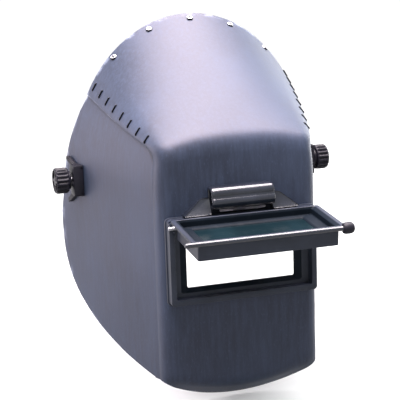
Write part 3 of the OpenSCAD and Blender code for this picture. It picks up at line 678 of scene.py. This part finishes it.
def fibre_shell(settings):
    """The folded sheet, with its crown flap standing off the side panels along both seams."""
    rows = shell_rows()
    columns, seam = shell_columns()
    n_rows, n_cols = len(rows), len(columns)
    base = [[shell_point(row, side, f, s) for side, f, s, _ in columns] for row in rows]
    twins = {seam - 1, seam, n_cols - seam - 1, n_cols - seam}

    def normal(i, j):
        left = j - (2 if j - 1 in twins and j in twins else 1)
        right = j + (2 if j + 1 in twins and j in twins else 1)
        a = base[i][max(left, 0)]
        b = base[i][min(right, n_cols - 1)]
        low, high = base[max(i - 1, 0)][j], base[min(i + 1, n_rows - 1)][j]
        return (b - a).cross(high - low).normalized()

    def lift(i, j):
        """How far the crown flap stands off the side panel's level."""
        kind, t = rows[i]
        if not columns[j][3]:
            return 0.0
        return SEAM_LIFT * {"fold": smooth((t - 0.1) / 0.7), "forehead": 1.0}.get(kind, 0.0)

    outer, inner, edge, seam_shadow = [], [], [], []
    for i in range(n_rows):
        for j in range(n_cols):
            p, n = base[i][j], normal(i, j)
            # the sheet stays true behind the lens frame
            calm = smooth((max(abs(p.x) - 66, abs(p.z) - 50, p.y - 10)) / 18)
            wave = noise.noise(p * 0.022) * 0.55 + noise.noise(p * 0.06) * 0.16
            out = lift(i, j) + wave * calm * settings.waviness
            rim = i in (0, n_rows - 1) or j in (0, n_cols - 1)
            slip = Vector()  # draws both faces in at the rim, so that its edge is rounded
            if i in (0, n_rows - 1):
                slip += (base[1 if i == 0 else n_rows - 2][j] - p).normalized() * RIM_ROUND
            if j in (0, n_cols - 1):
                slip += (base[i][1 if j == 0 else n_cols - 2] - p).normalized() * RIM_ROUND
            outer.append(p + n * out + slip)
            hollow = lift(i, j) * smooth((0.93 - columns[j][2]) / 0.08) if columns[j][3] else 0.0
            inner.append(p + n * (wave * calm * settings.waviness + hollow - SHELL_WALL) + slip)
            flap = lift(i, j) / SEAM_LIFT
            on_flap_edge = j in (seam, n_cols - seam - 1)
            away = seam - j if j < seam else j - (n_cols - seam - 1)
            # painted shadow: the two side-panel columns next to each seam are marked darker, as if in the crown
            # flap's shadow
            under = {1: 0.95, 2: 0.6}.get(away, 0.0) if rows[i][0] in ("fold", "forehead") else 0.0
            edge.append(1.0 if rim else (0.7 * flap if on_flap_edge else 0.0))
            seam_shadow.append(under * smooth(rows[i][1] * 2 if rows[i][0] == "fold" else 1))
    mids = [(a + b) / 2 for a, b in zip(outer, inner)]
    for i in range(n_rows):
        for j in range(n_cols):
            if i in (0, n_rows - 1) or j in (0, n_cols - 1):
                mids[i * n_cols + j] = base[i][j] - normal(i, j) * SHELL_WALL / 2

    def solid(i, j):
        if not (0 <= i < n_rows - 1 and 0 <= j < n_cols - 1):
            return False
        across = all(columns[k][3] and columns[k][2] <= WINDOW_S + 1e-6 for k in (j, j + 1))
        return not (across and rows[i][0] == "window" and rows[i + 1][0] == "window")

    points = [p + FACE for p in outer + inner + mids]
    mesh = as_mesh("fibre_shell", (points, sheet_faces(n_rows, n_cols, solid)))
    mark(mesh, "edge", edge + edge + [max(e, 0.6) for e in edge])
    mark(mesh, "seam_shadow", seam_shadow + [0.0] * (2 * len(seam_shadow)))
    drop_loose_points(mesh)
    piece("fibre_shell", mesh, SHELL, "fibre", ["shell"], crease=42)


# ---- rivets and staples on the crown flap ----
def on_flap(s, v, side=1):
    """(place, normal, run towards the rim) on the outside of the crown flap."""
    n = front_n(s, v)
    run = (front_pt(s, v + 0.02) - front_pt(s, v - 0.02)).normalized()
    p = front_pt(s, v) + n * SEAM_LIFT
    flip = Matrix.Scale(side, 4, Vector((1, 0, 0)))
    return flip @ p + FACE, flip.to_3x3() @ n, flip.to_3x3() @ run


def basis(origin, x, y, z):
    """The placing of a body whose own axes lie along x, y and z."""
    return Matrix.Translation(origin) @ Matrix((x, y, z)).transposed().to_4x4()


def crown_rivets():
    """Dished tubular heads outside, upset tails inside, at even steps round the crown."""
    head = [(0.02, 0.55), (0.75, 0.5), (1.0, 0.9), (1.35, 1.35), (1.9, 1.5), (2.5, 1.25), (3.0, 0.7),
            (3.15, 0.2), (3.0, -0.3)]
    tail = [(2.7, -4.4), (2.8, -4.6), (2.6, -5.4), (0.02, -5.6)]
    parts = []
    for k in range(-2, 3):
        s = ARCH_HX * math.sin(math.radians(20 * k)) / SEAM_TOP_X
        p, n, run = on_flap(s, 3.95)
        parts.append(moved(lathe(head, 32), basis(p, run.cross(n), run, n)))
        parts.append(moved(lathe(tail, 24), basis(p - n * SEAM_LIFT, run.cross(n), run, n)))
    made = piece("crown_rivets_finished", joined(*parts), SHELL, "steel", ["crown_rivets"])
    # painted shade: faces that do not face up, the heads' sides and undersides and the tails, get the darker
    # steel
    made.data.materials.append(finish("dark_steel_and_shade"))
    for face in made.data.polygons:
        if face.normal.z < 0.35:
            face.material_index = 1


def seam_staples(side, node, lean_by=math.radians(78), reach=3.4):
    """Wire staples along one seam, their crowns on the flap and leaning away from the seam's run."""
    half = [(reach, -2), (reach, 0.05), (reach - 0.3, 0.42), (reach - 0.8, 0.52)]
    parts = []
    for k in range(8):
        p, n, run = on_flap(0.95, 3.08 + 0.86 * k / 7, side)
        d = run * math.cos(lean_by) + n.cross(run) * side * math.sin(lean_by)
        path = [p - d * along + n * up for along, up in half] + [p + n * 0.45]
        path += [p + d * along + n * up for along, up in reversed(half)]
        parts.append(tube(path, 0.72, 10))
    piece(node + "_finished", joined(*parts), SHELL, "dark_steel_and_shade", [node])


# ---- lens frame ----
RIM_HX, RIM_LOW, RIM_TOP = 65.5, -33.2, 40.0
RIM_IN_HX, RIM_IN_LOW, RIM_IN_TOP = 60.8, -28.0, 31.0
RIM_OUT, LEDGE = -11.0, -2.4
FLUSH, FLANGE_OUT = -0.05, -2.6
SIGHT_HX, SIGHT_HZ = 48.2, 21.8
POCKET_HX, POCKET_HZ = 54.3, 25.7
HOUSING_LOW = 45.3
AT_FACE = Matrix.Translation(FACE)
AT_PIN = Matrix.Translation(FACE + Vector((0, PIN_Y, PIN_Z)))
AT_LID = AT_PIN @ Matrix.Rotation(math.radians(LID_SLOPE), 4, "X")
# a ring's height becomes depth
FLAT = Matrix(((1, 0, 0, 0), (0, 0, 1, 0), (0, 1, 0, 0), (0, 0, 0, 1)))
# a prism's thickness becomes depth
FRONTAL = Matrix(((0, 1, 0, 0), (1, 0, 0, 0), (0, 0, 1, 0), (0, 0, 0, 1)))
QUARTER_X = Matrix.Rotation(math.radians(90), 4, "Y")  # stands a turned body along X


def slab(outline, x, thick, ease, corner):
    """An outline in Y and Z, of even thickness about x."""
    return prism(outline, lambda y, z: x - thick / 2, lambda y, z: x + thick / 2, ease, corner)


def hinge_knuckle(x, length, foot, r=3.6):
    """A rolled knuckle round the pin with a foot; foot is a list of (y, z) corners."""
    start = math.atan2(foot[-1][1], foot[-1][0])
    span = (math.atan2(foot[0][1], foot[0][0]) - start) % (2 * math.pi)
    roll = [start + span * (k + 0.5) / 16 for k in range(16)]
    return slab(foot + [(r * math.cos(a), r * math.sin(a)) for a in roll], x, length, 0.35, 0.25)


def paint(made, look, test):
    """Gives a second finish to the faces whose middle (in millimetres) and normal pass."""
    made.data.materials.append(finish(look))
    last = len(made.data.materials) - 1
    for face in made.data.polygons:
        if test(face.center / MM, face.normal):
            face.material_index = last


def lens_frame():
    """The moulded frame, its gussets and the two knuckles that hold the hinge pin."""
    flange = (RIM_HX + 1.2, RIM_LOW - 1.3, RIM_TOP + 1, 4)
    rim = (RIM_HX, RIM_LOW, RIM_TOP, 3)
    rim_in = (RIM_IN_HX, RIM_IN_LOW, RIM_IN_TOP, 1.6)
    bezel = (54.4, -24.8, 24.8, 3)
    sight = (SIGHT_HX, -SIGHT_HZ, SIGHT_HZ, 2.5)
    pocket = (POCKET_HX, -POCKET_HZ, POCKET_HZ, 0.8)
    collar = (POCKET_HX + 2.9, -POCKET_HZ - 2.5, POCKET_HZ + 2.5, 1)
    rings = [(*flange, FLUSH), (*flange, FLANGE_OUT), (*rim, FLANGE_OUT), (*rim, RIM_OUT), (*rim_in, RIM_OUT),
             (*rim_in, LEDGE), (*bezel, LEDGE), (*sight, 0.4), (*sight, 1.0), (*pocket, 1.0), (*pocket, 5.0),
             (*collar, 5.0), (*collar, FLUSH)]
    # the rim is cut away at the top, where the lid swings
    cuts = [block((-62, -16, RIM_IN_TOP - 1), (62, -5, RIM_TOP + 2)),
            block((-80, -16, RIM_TOP - 2), (80, RIM_OUT + 3, RIM_TOP + 2))]
    body = carved(moved(nested(rings, 0.7, 3), AT_FACE), *[moved(c, AT_FACE) for c in cuts])
    made = piece("lens_frame_moulding", body, SHELL, "frame", ["lens_frame"], crease=38)

    # painted shade: the bezel and the funnel into the sight opening get the near-black pocket finish
    def on_bezel(c, n):
        return abs(c.x) < 54.6 and abs(c.z - FACE.z) < 25.2 and FACE.y - 2.6 < c.y < FACE.y + 1.2

    paint(made, "pocket", on_bezel)

    parts = []
    web_low, web_high = 41.6, 55.0
    for side in (-1, 1):
        corners = ((51.5, web_low), (35, web_high), (27.5, web_high), (27.5, web_low))
        outline = [(side * x, z) for x, z in corners]
        if side < 0:
            outline.reverse()
        web = prism(outline, lambda x, z: FLUSH,
                    lambda x, z: lerp(-8.0, FLANGE_OUT, (z - web_low) / (web_high - web_low)), 0.5, 1.4)
        parts.append(moved(web, AT_FACE @ FRONTAL))
    parts.append(moved(block((-28, FLANGE_OUT, 39), (28, FLUSH, HOUSING_LOW + 1)), AT_FACE))
    for x in (-25, 25):
        parts.append(moved(hinge_knuckle(x, 5, [(0.5, -3.5), (6.3, -3.4), (6.3, 3.5), (0.5, 3.55)]), AT_PIN))
    piece("lens_frame_gussets", joined(*parts), SHELL, "housing")


def arc_points(cy, cz, r, start, end, steps=14):
    """Points in Y and Z on an arc, from one angle in degrees to the other."""
    return [Vector((cy + r * math.cos(math.radians(lerp(start, end, k / steps))),
                    cz + r * math.sin(math.radians(lerp(start, end, k / steps))))) for k in range(steps + 1)]


def spring_housing():
    """Two rolls, one over the other, with dished ends that carry painted shade."""
    rolls = arc_points(-8, 6, 6, 270, 131) + arc_points(-6, 13, 6, 189, 90)
    outline = [Vector((FLUSH, 0))] + rolls + [Vector((FLUSH, 19))]
    mid = Vector((-6, 9.5))

    def row(x, pull):
        return [Vector((x, q.x, q.y)) for q in (p + (mid - p).normalized() * pull for p in outline)]

    rim = [(24.0, 3.3), (26.6, 3.2), (27.4, 3.0), (27.9, 2.5), (28.0, 1.8), (27.6, 1.0), (27.0, 0.45),
           (26.2, 0.12), (25.2, 0.0)]
    rows = [row(-x, pull) for x, pull in rim] + [row(x, pull) for x, pull in reversed(rim)]
    rolled = moved(skin(rows), AT_FACE @ Matrix.Translation((0, 0, HOUSING_LOW)))
    made = piece("spring_housing_rolls", rolled, SHELL, "housing", ["spring_housing"], crease=50)
    # painted shade: the flat end faces of the rolls get the near-black pocket finish
    paint(made, "pocket", lambda c, n: abs(c.x) > 24 and abs(n.x) > 0.8 and abs(c.x) < 27.5)


# ---- lid ----
def flip_lid():
    """The open tray that holds the dark glass, the rail along its free edge, knuckles and ribs."""
    y0, y1 = -60.1, -4.0  # the box that holds the dark glass
    brim = (65.5, y0 - 1.5, -2.75, 2.2)
    wall = (60.0, y0, y1, 2)
    pocket = (POCKET_HX, -57.8, -6.3, 0.8)
    brim_z, deep_z = 8.3, -8.3
    rings = [(*brim, brim_z), (62.2, y0 + 0.8, y1 - 0.8, 1.6, brim_z), (58.6, y0 + 1.5, y1 - 1.5, 1.4, 6.2),
             (58.5, y0 + 1.5, y1 - 1.5, 1.4, 1.8), (SIGHT_HX + 1.5, -55.3, -8.8, 1.6, 1.3),
             (SIGHT_HX, -53.9, -10.2, 1.2, 0.0), (*pocket, 0.0), (*pocket, deep_z), (*wall, deep_z), (*wall, 5.8),
             (*brim, 5.8)]
    tray = moved(nested(rings, 0.6, 3), AT_LID @ FLAT)
    made = piece("lid_tray", tray, LID, "frame", ["lid"], crease=38)
    inverse = AT_LID.inverted()

    # painted shade: the tray's inner walls and floor get the near-black pocket finish
    def inside(c, n):
        p = inverse @ c
        in_box = abs(p.x) < 61.8 and -59.4 < p.y < -4.6 and -8.2 < p.z < 7.9
        return in_box and not (abs(p.x) > 58.9 and p.z < 1)

    paint(made, "pocket", inside)
    rail = [(0.02, -71.5), (1.1, -71.4), (1.8, -70.8), (2.0, -69.8), (2.0, 60.8), (2.3, 61.6), (4.0, 62.4),
            (4.7, 63.6), (4.9, 65.5), (4.9, 68.6), (4.4, 70.4), (3.2, 71.5), (1.6, 71.9), (0.02, 72)]
    at_rail = AT_LID @ Matrix.Translation((0, y0 - 1.6, 6.4)) @ QUARTER_X
    bar = piece("lid_rail", moved(lathe(rail, 28), at_rail), LID, "housing")
    paint(bar, "black", lambda c, n: c.x > 61.5)
    foot = [(0.4, 6.2), (-4.4, 6.2), (-4.4, -1.0), (-3.2, -1.6)]
    knuckles = [hinge_knuckle(x, 10, foot) for x in (-53, 0, 53)]
    rib = [(-3.6, 5.9), (-3.6, -6), (-4.2, -7.6), (-4.2, 5.9)]
    ribs = [slab(rib, x, 1.6, 0.15, 0.1) for x in (-38, -19, 19, 38)]
    piece("lid_knuckles", moved(joined(*knuckles, *ribs), AT_LID), LID, "frame")


# ---- tilt pivots ----
def panel_x(y, out):
    """X of the plane that the side panel lies in at the pivot, moved out by some millimetres."""
    slope = (side_x(PIVOT.y - FACE.y + 1) - side_x(PIVOT.y - FACE.y - 1)) / 2
    return side_pt(PIVOT.y - FACE.y, PIVOT.z - FACE.z).x + out * math.hypot(1, slope) + slope * y


def hand(side):
    return "left" if side < 0 else "right"


def reach_x(node):
    """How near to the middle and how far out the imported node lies, in millimetres."""
    ends = [abs(corner.x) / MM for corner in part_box(node)]
    return min(ends), max(ends)


def tension_knob(side, flutes):
    """A fluted knob with a collar, and a ribbed hollow in its outer face."""
    node = f"tension_knob_{hand(side)}"
    start, end = reach_x(node)
    base = end - 12

    def ripple(a, h):
        grip = smooth((h - base - 0.8) / 0.8) * smooth((end - 0.9 - h) / 0.8)
        return grip * 0.62 * (math.cos(a * flutes) * 0.5 + abs(math.cos(a * flutes / 2)) - 0.6)

    profile = [(3.2, start), (7.2, start), (8.2, start + 0.4), (8.4, base + 0.1), (10.4, base),
               (11.0, base + 0.3), (11.3, base + 0.8)]
    profile += [(11.3, lerp(base + 1.2, end - 1.4, k / 8)) for k in range(9)]
    profile += [(11.2, end - 0.8), (10.9, end - 0.3), (10.4, end), (9.8, end - 0.1)]
    n = flutes * 10
    points, faces = lathe(profile, n, ripple)
    faces.pop()  # the outer face is hollowed instead of closed
    hollow = [(9.6, 0.25), (9.5, 1.0), (9.4, 3.2), (8.9, 3.4), (6.8, 3.4), (4.8, 3.4), (4.5, 3.2), (4.4, 1.0),
              (4.2, 0.4), (3.2, 0.2), (1.2, 0.15), (0.02, 0.15)]
    first = len(points) - n
    for r, deep in hollow:
        for k in range(n):
            a = 2 * math.pi * k / n
            rib = smooth((1.15 - min(abs(r * math.sin(a)), abs(r * math.cos(a)))) / 0.25)
            points.append(Vector((r * math.cos(a), r * math.sin(a), end - lerp(deep, min(deep, 0.35), rib))))
        new = len(points) - n
        faces += [(first + k, first + (k + 1) % n, new + (k + 1) % n, new + k) for k in range(n)]
        first = new
    faces.append(tuple(range(first, first + n)))
    turn = Matrix.Translation(PIVOT) @ Matrix.Rotation(math.radians(90 * side), 4, "Y")
    made = piece(f"{node}_fluted", moved((points, faces), turn), f"knob_{hand(side)}", "knob",
                 [node], crease=45)

    # painted shade: the floor of the knob's hollow gets the near-black pocket finish
    def hollow_floor(c, normal):
        near_axis = math.hypot(c.y - PIVOT.y, c.z - PIVOT.z) < 9.4
        return near_axis and base + 3 < abs(c.x) < end - 2.9 and abs(normal.x) > 0.7

    paint(made, "pocket", hollow_floor)


def stop_plate(side):
    """The block behind a knob, with an arm above, an arm below and a small boss."""
    node = f"stop_plate_{hand(side)}"
    face = reach_x(node)[1] - 0.9
    block_outline = [(-11, -14), (3, -14), (9, -8), (9, 8), (3, 14), (-11, 14)]
    parts = [prism(block_outline, lambda y, z: panel_x(y, 0.35), lambda y, z: face, 1.0, 1.6)]
    for arm in ([(-11, 10), (-11, 14), (0, 14.6), (12, 20.5), (13, 17), (2, 10)],
                [(-11, -10), (2, -10), (13, -19.5), (12, -23), (0, -15), (-11, -14)]):
        parts.append(prism(arm, lambda y, z: panel_x(y, 0.35), lambda y, z: panel_x(y, 3.4), 0.6, 1.0))
    boss = [(2.6, face - 1), (2.6, face + 0.3), (2.3, face + 0.7), (1.4, face + 0.9), (0.02, face + 0.95)]
    parts.append(moved(lathe(boss, 24), Matrix.Translation((0, -7.4, -3)) @ QUARTER_X))
    place = Matrix.Scale(side, 4, Vector((1, 0, 0))) @ Matrix.Translation(PIVOT)
    piece(f"{node}_moulded", moved(joined(*parts), place), SHELL, "black", [node])


# ---- soft pads ----
def applied(obj):
    """The object's mesh with its modifiers worked in."""
    bpy.context.view_layer.update()
    mesh = bpy.data.meshes.new_from_object(obj.evaluated_get(bpy.context.evaluated_depsgraph_get()))
    obj.modifiers.clear()
    obj.data = mesh
    return mesh


def swollen(obj):
    """The mesh blown up from inside, as a stuffed cover."""
    cloth = obj.modifiers.new("cover", "CLOTH")
    cloth.settings.quality = 6
    cloth.settings.mass = 0.2
    cloth.settings.use_pressure = True
    cloth.settings.uniform_pressure_force = 4
    cloth.settings.tension_stiffness = 12
    cloth.settings.bending_stiffness = 0.4
    cloth.settings.effector_weights.gravity = 0
    cloth.point_cache.frame_end = 20
    for step in range(1, 21):
        bpy.context.scene.frame_set(step)
    applied(obj)
    bpy.context.scene.frame_set(1)


def sewn(obj, middle_y, r_in, r_out, half_h, channels):
    """Draws the cover in along its channels and hem, and marks where the thread shows."""
    middle = (r_in + r_out) / 2
    stitch = []
    for v in obj.data.vertices:
        p = v.co / MM
        out = Vector((p.x, p.y - middle_y))
        angle, r = math.degrees(math.atan2(out.y, out.x)) % 360, out.length
        dip = max([math.exp(-((angle - c) * math.radians(1) * middle / 1.6) ** 2) for c in channels] + [0])
        dip = max(dip, 0.8 * math.exp(-((abs(p.z) - half_h + 2.6) / 0.9) ** 2))
        bulk = 0.5 * (1 - ((p.z / half_h) ** 2)) if r < middle else 0
        r = min(r, r_out + 0.1) - bulk * (1 - dip)
        if r < middle:
            r += dip * 1.1
        a = math.radians(angle)
        v.co = Vector((r * math.cos(a), middle_y + r * math.sin(a), p.z)) * MM
        thread = dip > 0.93 and math.sin(p.z * 2.6 + angle * 3.4) > -0.2
        stitch.append(0.9 if thread else 0.0)
    mark(obj.data, "stitch", stitch)


def soft_pad(name, node, middle_y, r_in, r_out, half_h, start, end, channels, loft):
    """A foam pad in a woven cover, bent round the band: blown up a little as cloth, then sewn."""
    steps, shrink = 48, 0.6
    inner, outer = r_in + shrink, r_out - shrink
    rows = []
    for k in range(steps + 1):
        a = math.radians(lerp(start, end, k / steps))
        half = half_h * (1 - max(0.0, abs(2 * k / steps - 1) - 0.94) / 0.06 * 0.35)
        out = Vector((math.cos(a), math.sin(a), 0))
        corners = [(inner, -half), (outer, -half), (outer, half), (inner, half)]
        section = eased([Vector(c) for c in corners], 2.0, 3)
        rows.append([out * q.x + Vector((0, middle_y, q.y)) for q in section])
    obj = bpy.data.objects.new(name, as_mesh(name, skin(rows)))
    bpy.context.scene.collection.objects.link(obj)
    remesh = obj.modifiers.new("even", "REMESH")
    remesh.mode = "VOXEL"
    remesh.voxel_size = 2.0 * MM
    applied(obj)
    rest = [v.co.copy() for v in obj.data.vertices]
    swollen(obj)
    for v, was in zip(obj.data.vertices, rest):
        step = v.co - was
        if step.length > loft:
            v.co = was + step * (loft / step.length)
    sub = obj.modifiers.new("smooth", "SUBSURF")
    sub.levels = 1
    applied(obj)
    sewn(obj, middle_y, r_in, r_out, half_h, channels)
    obj.data.materials.clear()
    obj.data.materials.append(finish("weave"))
    obj.data.shade_smooth()
    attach(obj, HEADGEAR)
    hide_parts(node)


# ---- the add-on ----
class HelmetColours(bpy.types.PropertyGroup):
    """Colours of the helmet's main materials"""
    fibre_colour: bpy.props.FloatVectorProperty(
        name="Fibre", description="Dyed fibre of the shell", subtype="COLOR", min=0, max=1,
        default=(0.014, 0.021, 0.037))
    frame_colour: bpy.props.FloatVectorProperty(
        name="Lens frame", description="Plastic of the lens frame and lid", subtype="COLOR", min=0, max=1,
        default=(0.011, 0.014, 0.022))
    black_colour: bpy.props.FloatVectorProperty(
        name="Black parts", description="Plastic of knobs, plates and headgear", subtype="COLOR", min=0, max=1,
        default=(0.005, 0.005, 0.008))
    floor_colour: bpy.props.FloatVectorProperty(
        name="Floor", description="Studio floor", subtype="COLOR", min=0, max=1, default=(0.96, 0.96, 0.96))


class HelmetSizes(bpy.types.PropertyGroup):
    """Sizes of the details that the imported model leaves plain"""
    waviness: bpy.props.FloatProperty(
        name="Waviness", description="How much the pressed sheet wanders from true", min=0, max=2, default=0.8)
    flutes: bpy.props.IntProperty(
        name="Knob flutes", description="Flutes round each tension knob", min=8, max=40, default=18)
    pad_loft: bpy.props.FloatProperty(
        name="Pad loft", description="How far the pads may swell", unit="LENGTH", min=0, max=0.01,
        default=0.0035)


class StageSettings(bpy.types.PropertyGroup):
    """Where the camera and the lights stand"""
    azimuth: bpy.props.FloatProperty(
        name="Azimuth", description="Camera's turn from the front", subtype="ANGLE", default=math.radians(-18.4))
    elevation: bpy.props.FloatProperty(
        name="Elevation", description="Camera's height angle", subtype="ANGLE", default=math.radians(12.7))
    roll: bpy.props.FloatProperty(
        name="Roll", description="Camera's roll", subtype="ANGLE", default=math.radians(1.8))
    distance: bpy.props.FloatProperty(
        name="Distance", description="Camera's distance", unit="LENGTH", default=1.1248)
    lens: bpy.props.FloatProperty(name="Lens", description="Focal length in millimetres", default=113.9)
    top_power: bpy.props.FloatProperty(
        name="Top light", description="Watts of the overhead softbox", default=225)
    side_power: bpy.props.FloatProperty(
        name="Side lights", description="Watts of each side softbox", default=38)
    front_power: bpy.props.FloatProperty(
        name="Front light", description="Watts of the front fill", default=3.0)
    sky: bpy.props.FloatProperty(name="Room light", description="Strength of the white room", default=1.04)


AIM = Vector((0, -0.078, -0.020))  # where the camera looks, in metres
FLOOR_TOP, FLOOR_REACH = -180, 4000
ROSE, COOL_ROSE = (1.0, 0.89, 0.91), (1.0, 0.89, 0.95)  # the softboxes' tints


class HELMET_OT_stage(bpy.types.Operator):
    """Camera, soft lights and floor"""
    bl_idname = "helmet.stage"
    bl_label = "Studio"

    def softbox(self, name, spot, aim, size, power, tint=(1, 1, 1)):
        """A rectangular area light at one point, turned towards another."""
        data = bpy.data.lights.new(name, "AREA")
        data.shape = "RECTANGLE"
        data.size, data.size_y = size
        data.energy = power
        data.color = tint
        lamp = bpy.data.objects.new(name, data)
        lamp.location = spot
        lamp.rotation_euler = (Vector(aim) - Vector(spot)).to_track_quat("-Z", "Y").to_euler()
        bpy.context.scene.collection.objects.link(lamp)

    def execute(self, context):
        scene = context.scene
        setup = scene.helmet_stage
        a, e, roll = setup.azimuth, setup.elevation, setup.roll
        back = Vector((math.sin(a) * math.cos(e), -math.cos(a) * math.cos(e), math.sin(e)))
        right = Vector((math.cos(a), math.sin(a), 0))
        up = back.cross(right)
        right, up = right * math.cos(roll) - up * math.sin(roll), right * math.sin(roll) + up * math.cos(roll)
        data = bpy.data.cameras.new("camera")
        data.lens = setup.lens
        data.shift_x, data.shift_y = -0.0425, 0.022
        data.clip_start = 0.01
        camera = bpy.data.objects.new("camera", data)
        spot = AIM + back * setup.distance
        camera.matrix_world = Matrix.Translation(spot) @ Matrix((right, up, back)).transposed().to_4x4()
        scene.collection.objects.link(camera)
        scene.camera = camera

        self.softbox("top_softbox", (0.06, -0.12, 1.25), (0, -0.05, 0.1), (1.6, 1.2), setup.top_power, ROSE)
        self.softbox("left_softbox", (-1.3, 0.45, 0.20), (-0.05, -0.05, 0), (0.7, 1.3), setup.side_power,
                     COOL_ROSE)
        self.softbox("right_softbox", (1.2, 0.55, 0.30), (0.05, -0.05, 0), (0.7, 1.0), setup.side_power * 0.6)
        self.softbox("front_softbox", (-0.5, -1.6, 0.6), (0, -0.1, -0.05), (0.9, 0.9), setup.front_power)

        room = bpy.data.worlds.new("studio_room")
        room.use_nodes = True
        sky = room.node_tree.nodes["Background"]
        sky.inputs["Color"].default_value = (1, 1, 1, 1)
        sky.inputs["Strength"].default_value = setup.sky
        scene.world = room
        scene.view_settings.view_transform = "Standard"

        slab_of_floor = block((-FLOOR_REACH, -FLOOR_REACH, FLOOR_TOP - 6), (FLOOR_REACH, FLOOR_REACH, FLOOR_TOP))
        floor = bpy.data.objects.new("floor", as_mesh("floor", slab_of_floor))
        floor.data.materials.append(floor_finish(scene.helmet_colours.floor_colour))
        scene.collection.objects.link(floor)
        flagged = bpy.data.collections.new("flagged")  # the overhead light is kept off the floor
        flagged.objects.link(floor)
        flagged.collection_objects[0].light_linking.link_state = "EXCLUDE"
        bpy.data.objects["top_softbox"].light_linking.receiver_collection = flagged
        return {"FINISHED"}


class HELMET_OT_fibre_shell(bpy.types.Operator):
    """The folded fibre shell with its crown flap lapped over the side panels"""
    bl_idname = "helmet.fibre_shell"
    bl_label = "Fibre shell"

    def execute(self, context):
        fibre_shell(context.scene.helmet_sizes)
        return {"FINISHED"}


class HELMET_OT_rivets_and_staples(bpy.types.Operator):
    """Rivets round the crown rim and staples down both seams"""
    bl_idname = "helmet.rivets_and_staples"
    bl_label = "Rivets and staples"

    def execute(self, context):
        crown_rivets()
        seam_staples(-1, "seam_staples_left")
        seam_staples(1, "seam_staples_right")
        return {"FINISHED"}


class HELMET_OT_lens_frame(bpy.types.Operator):
    """The moulded frame on the front panel, its gussets and its spring housing"""
    bl_idname = "helmet.lens_frame"
    bl_label = "Lens frame"

    def execute(self, context):
        lens_frame()
        spring_housing()
        refinish("black", "lens_retainer")
        refinish("rubber", "clear_lens_gasket")
        refinish("steel", "hinge_pin", "detent_spring", "retainer_screws", "clear_lens_spring")
        refinish("clear", "clear_lens")
        return {"FINISHED"}


class HELMET_OT_flip_lid(bpy.types.Operator):
    """The lid that carries the dark glass, with its rail and knuckles"""
    bl_idname = "helmet.flip_lid"
    bl_label = "Flip-up lid"

    def execute(self, context):
        flip_lid()
        refinish("cover", "lid_cover_glass")
        refinish("shade", "filter_glass")
        refinish("rubber", "lid_gasket")
        refinish("steel", "lid_spring")
        return {"FINISHED"}


class HELMET_OT_tilt_pivots(bpy.types.Operator):
    """Tension knobs, stop plates and the washers between shell and headgear"""
    bl_idname = "helmet.tilt_pivots"
    bl_label = "Tilt pivots"

    def execute(self, context):
        for side in (-1, 1):
            tension_knob(side, context.scene.helmet_sizes.flutes)
            stop_plate(side)
            refinish("black", f"pivot_wedge_{hand(side)}", f"side_arm_{hand(side)}", ease=0.4)
            refinish("washer", f"friction_washer_{hand(side)}")
            refinish("steel", f"pivot_stud_{hand(side)}", f"arm_rivets_{hand(side)}")
        return {"FINISHED"}


class HELMET_OT_headgear(bpy.types.Operator):
    """Headband, crown straps and nape ratchet"""
    bl_idname = "helmet.headgear"
    bl_label = "Headgear"

    def execute(self, context):
        refinish("fibre", "crown_band")
        refinish("strap", "headband", "crown_strap_left", "crown_strap_right", ease=0.35)
        refinish("strap", "rack_left", "rack_right", ease=0.12)
        refinish("black", "nape_cover_inner", "nape_cover_outer", ease=0.4)
        refinish("black", "ratchet_pinion")
        refinish("knob", "ratchet_knob", ease=0.3)
        refinish("steel", "nape_screws")
        return {"FINISHED"}


class HELMET_OT_soft_pads(bpy.types.Operator):
    """The sewn pads at the brow and the nape"""
    bl_idname = "helmet.soft_pads"
    bl_label = "Soft pads"

    def execute(self, context):
        loft = context.scene.helmet_sizes.pad_loft
        soft_pad("brow_pad_sewn", "brow_pad", middle_y=-20, r_in=71.8, r_out=76.7, half_h=15, start=200, end=340,
                 channels=(222, 246, 270, 294, 318), loft=loft)
        soft_pad("nape_pad_sewn", "nape_pad", middle_y=20, r_in=68.5, r_out=73.5, half_h=13, start=64, end=116,
                 channels=(77, 90, 103), loft=loft)
        return {"FINISHED"}


OPERATORS = (HELMET_OT_stage, HELMET_OT_fibre_shell, HELMET_OT_rivets_and_staples, HELMET_OT_lens_frame,
             HELMET_OT_flip_lid, HELMET_OT_tilt_pivots, HELMET_OT_headgear, HELMET_OT_soft_pads)


class HELMET_PT_sidebar(bpy.types.Panel):
    """Lists the steps that build the helmet"""
    bl_label = "Welding Helmet"
    bl_space_type = "VIEW_3D"
    bl_region_type = "UI"
    bl_category = "Helmet"

    def draw(self, context):
        for group in (context.scene.helmet_colours, context.scene.helmet_sizes, context.scene.helmet_stage):
            box = self.layout.box()
            for key in group.__annotations__:
                box.prop(group, key)
        for step in OPERATORS:
            self.layout.operator(step.bl_idname)


GROUPS = {"helmet_colours": HelmetColours, "helmet_sizes": HelmetSizes, "helmet_stage": StageSettings}


def register():
    for group in GROUPS.values():
        bpy.utils.register_class(group)
    for key, group in GROUPS.items():
        setattr(bpy.types.Scene, key, bpy.props.PointerProperty(type=group))
    for cls in OPERATORS + (HELMET_PT_sidebar,):
        bpy.utils.register_class(cls)


def unregister():
    for cls in (HELMET_PT_sidebar,) + tuple(reversed(OPERATORS)):
        bpy.utils.unregister_class(cls)
    for key in GROUPS:
        delattr(bpy.types.Scene, key)
    for group in GROUPS.values():
        bpy.utils.unregister_class(group)


def main():
    register()
    for step in OPERATORS:
        family, name = step.bl_idname.split(".")
        getattr(getattr(bpy.ops, family), name)()
    bpy.context.view_layer.update()


if __name__ == "__main__":
    main()
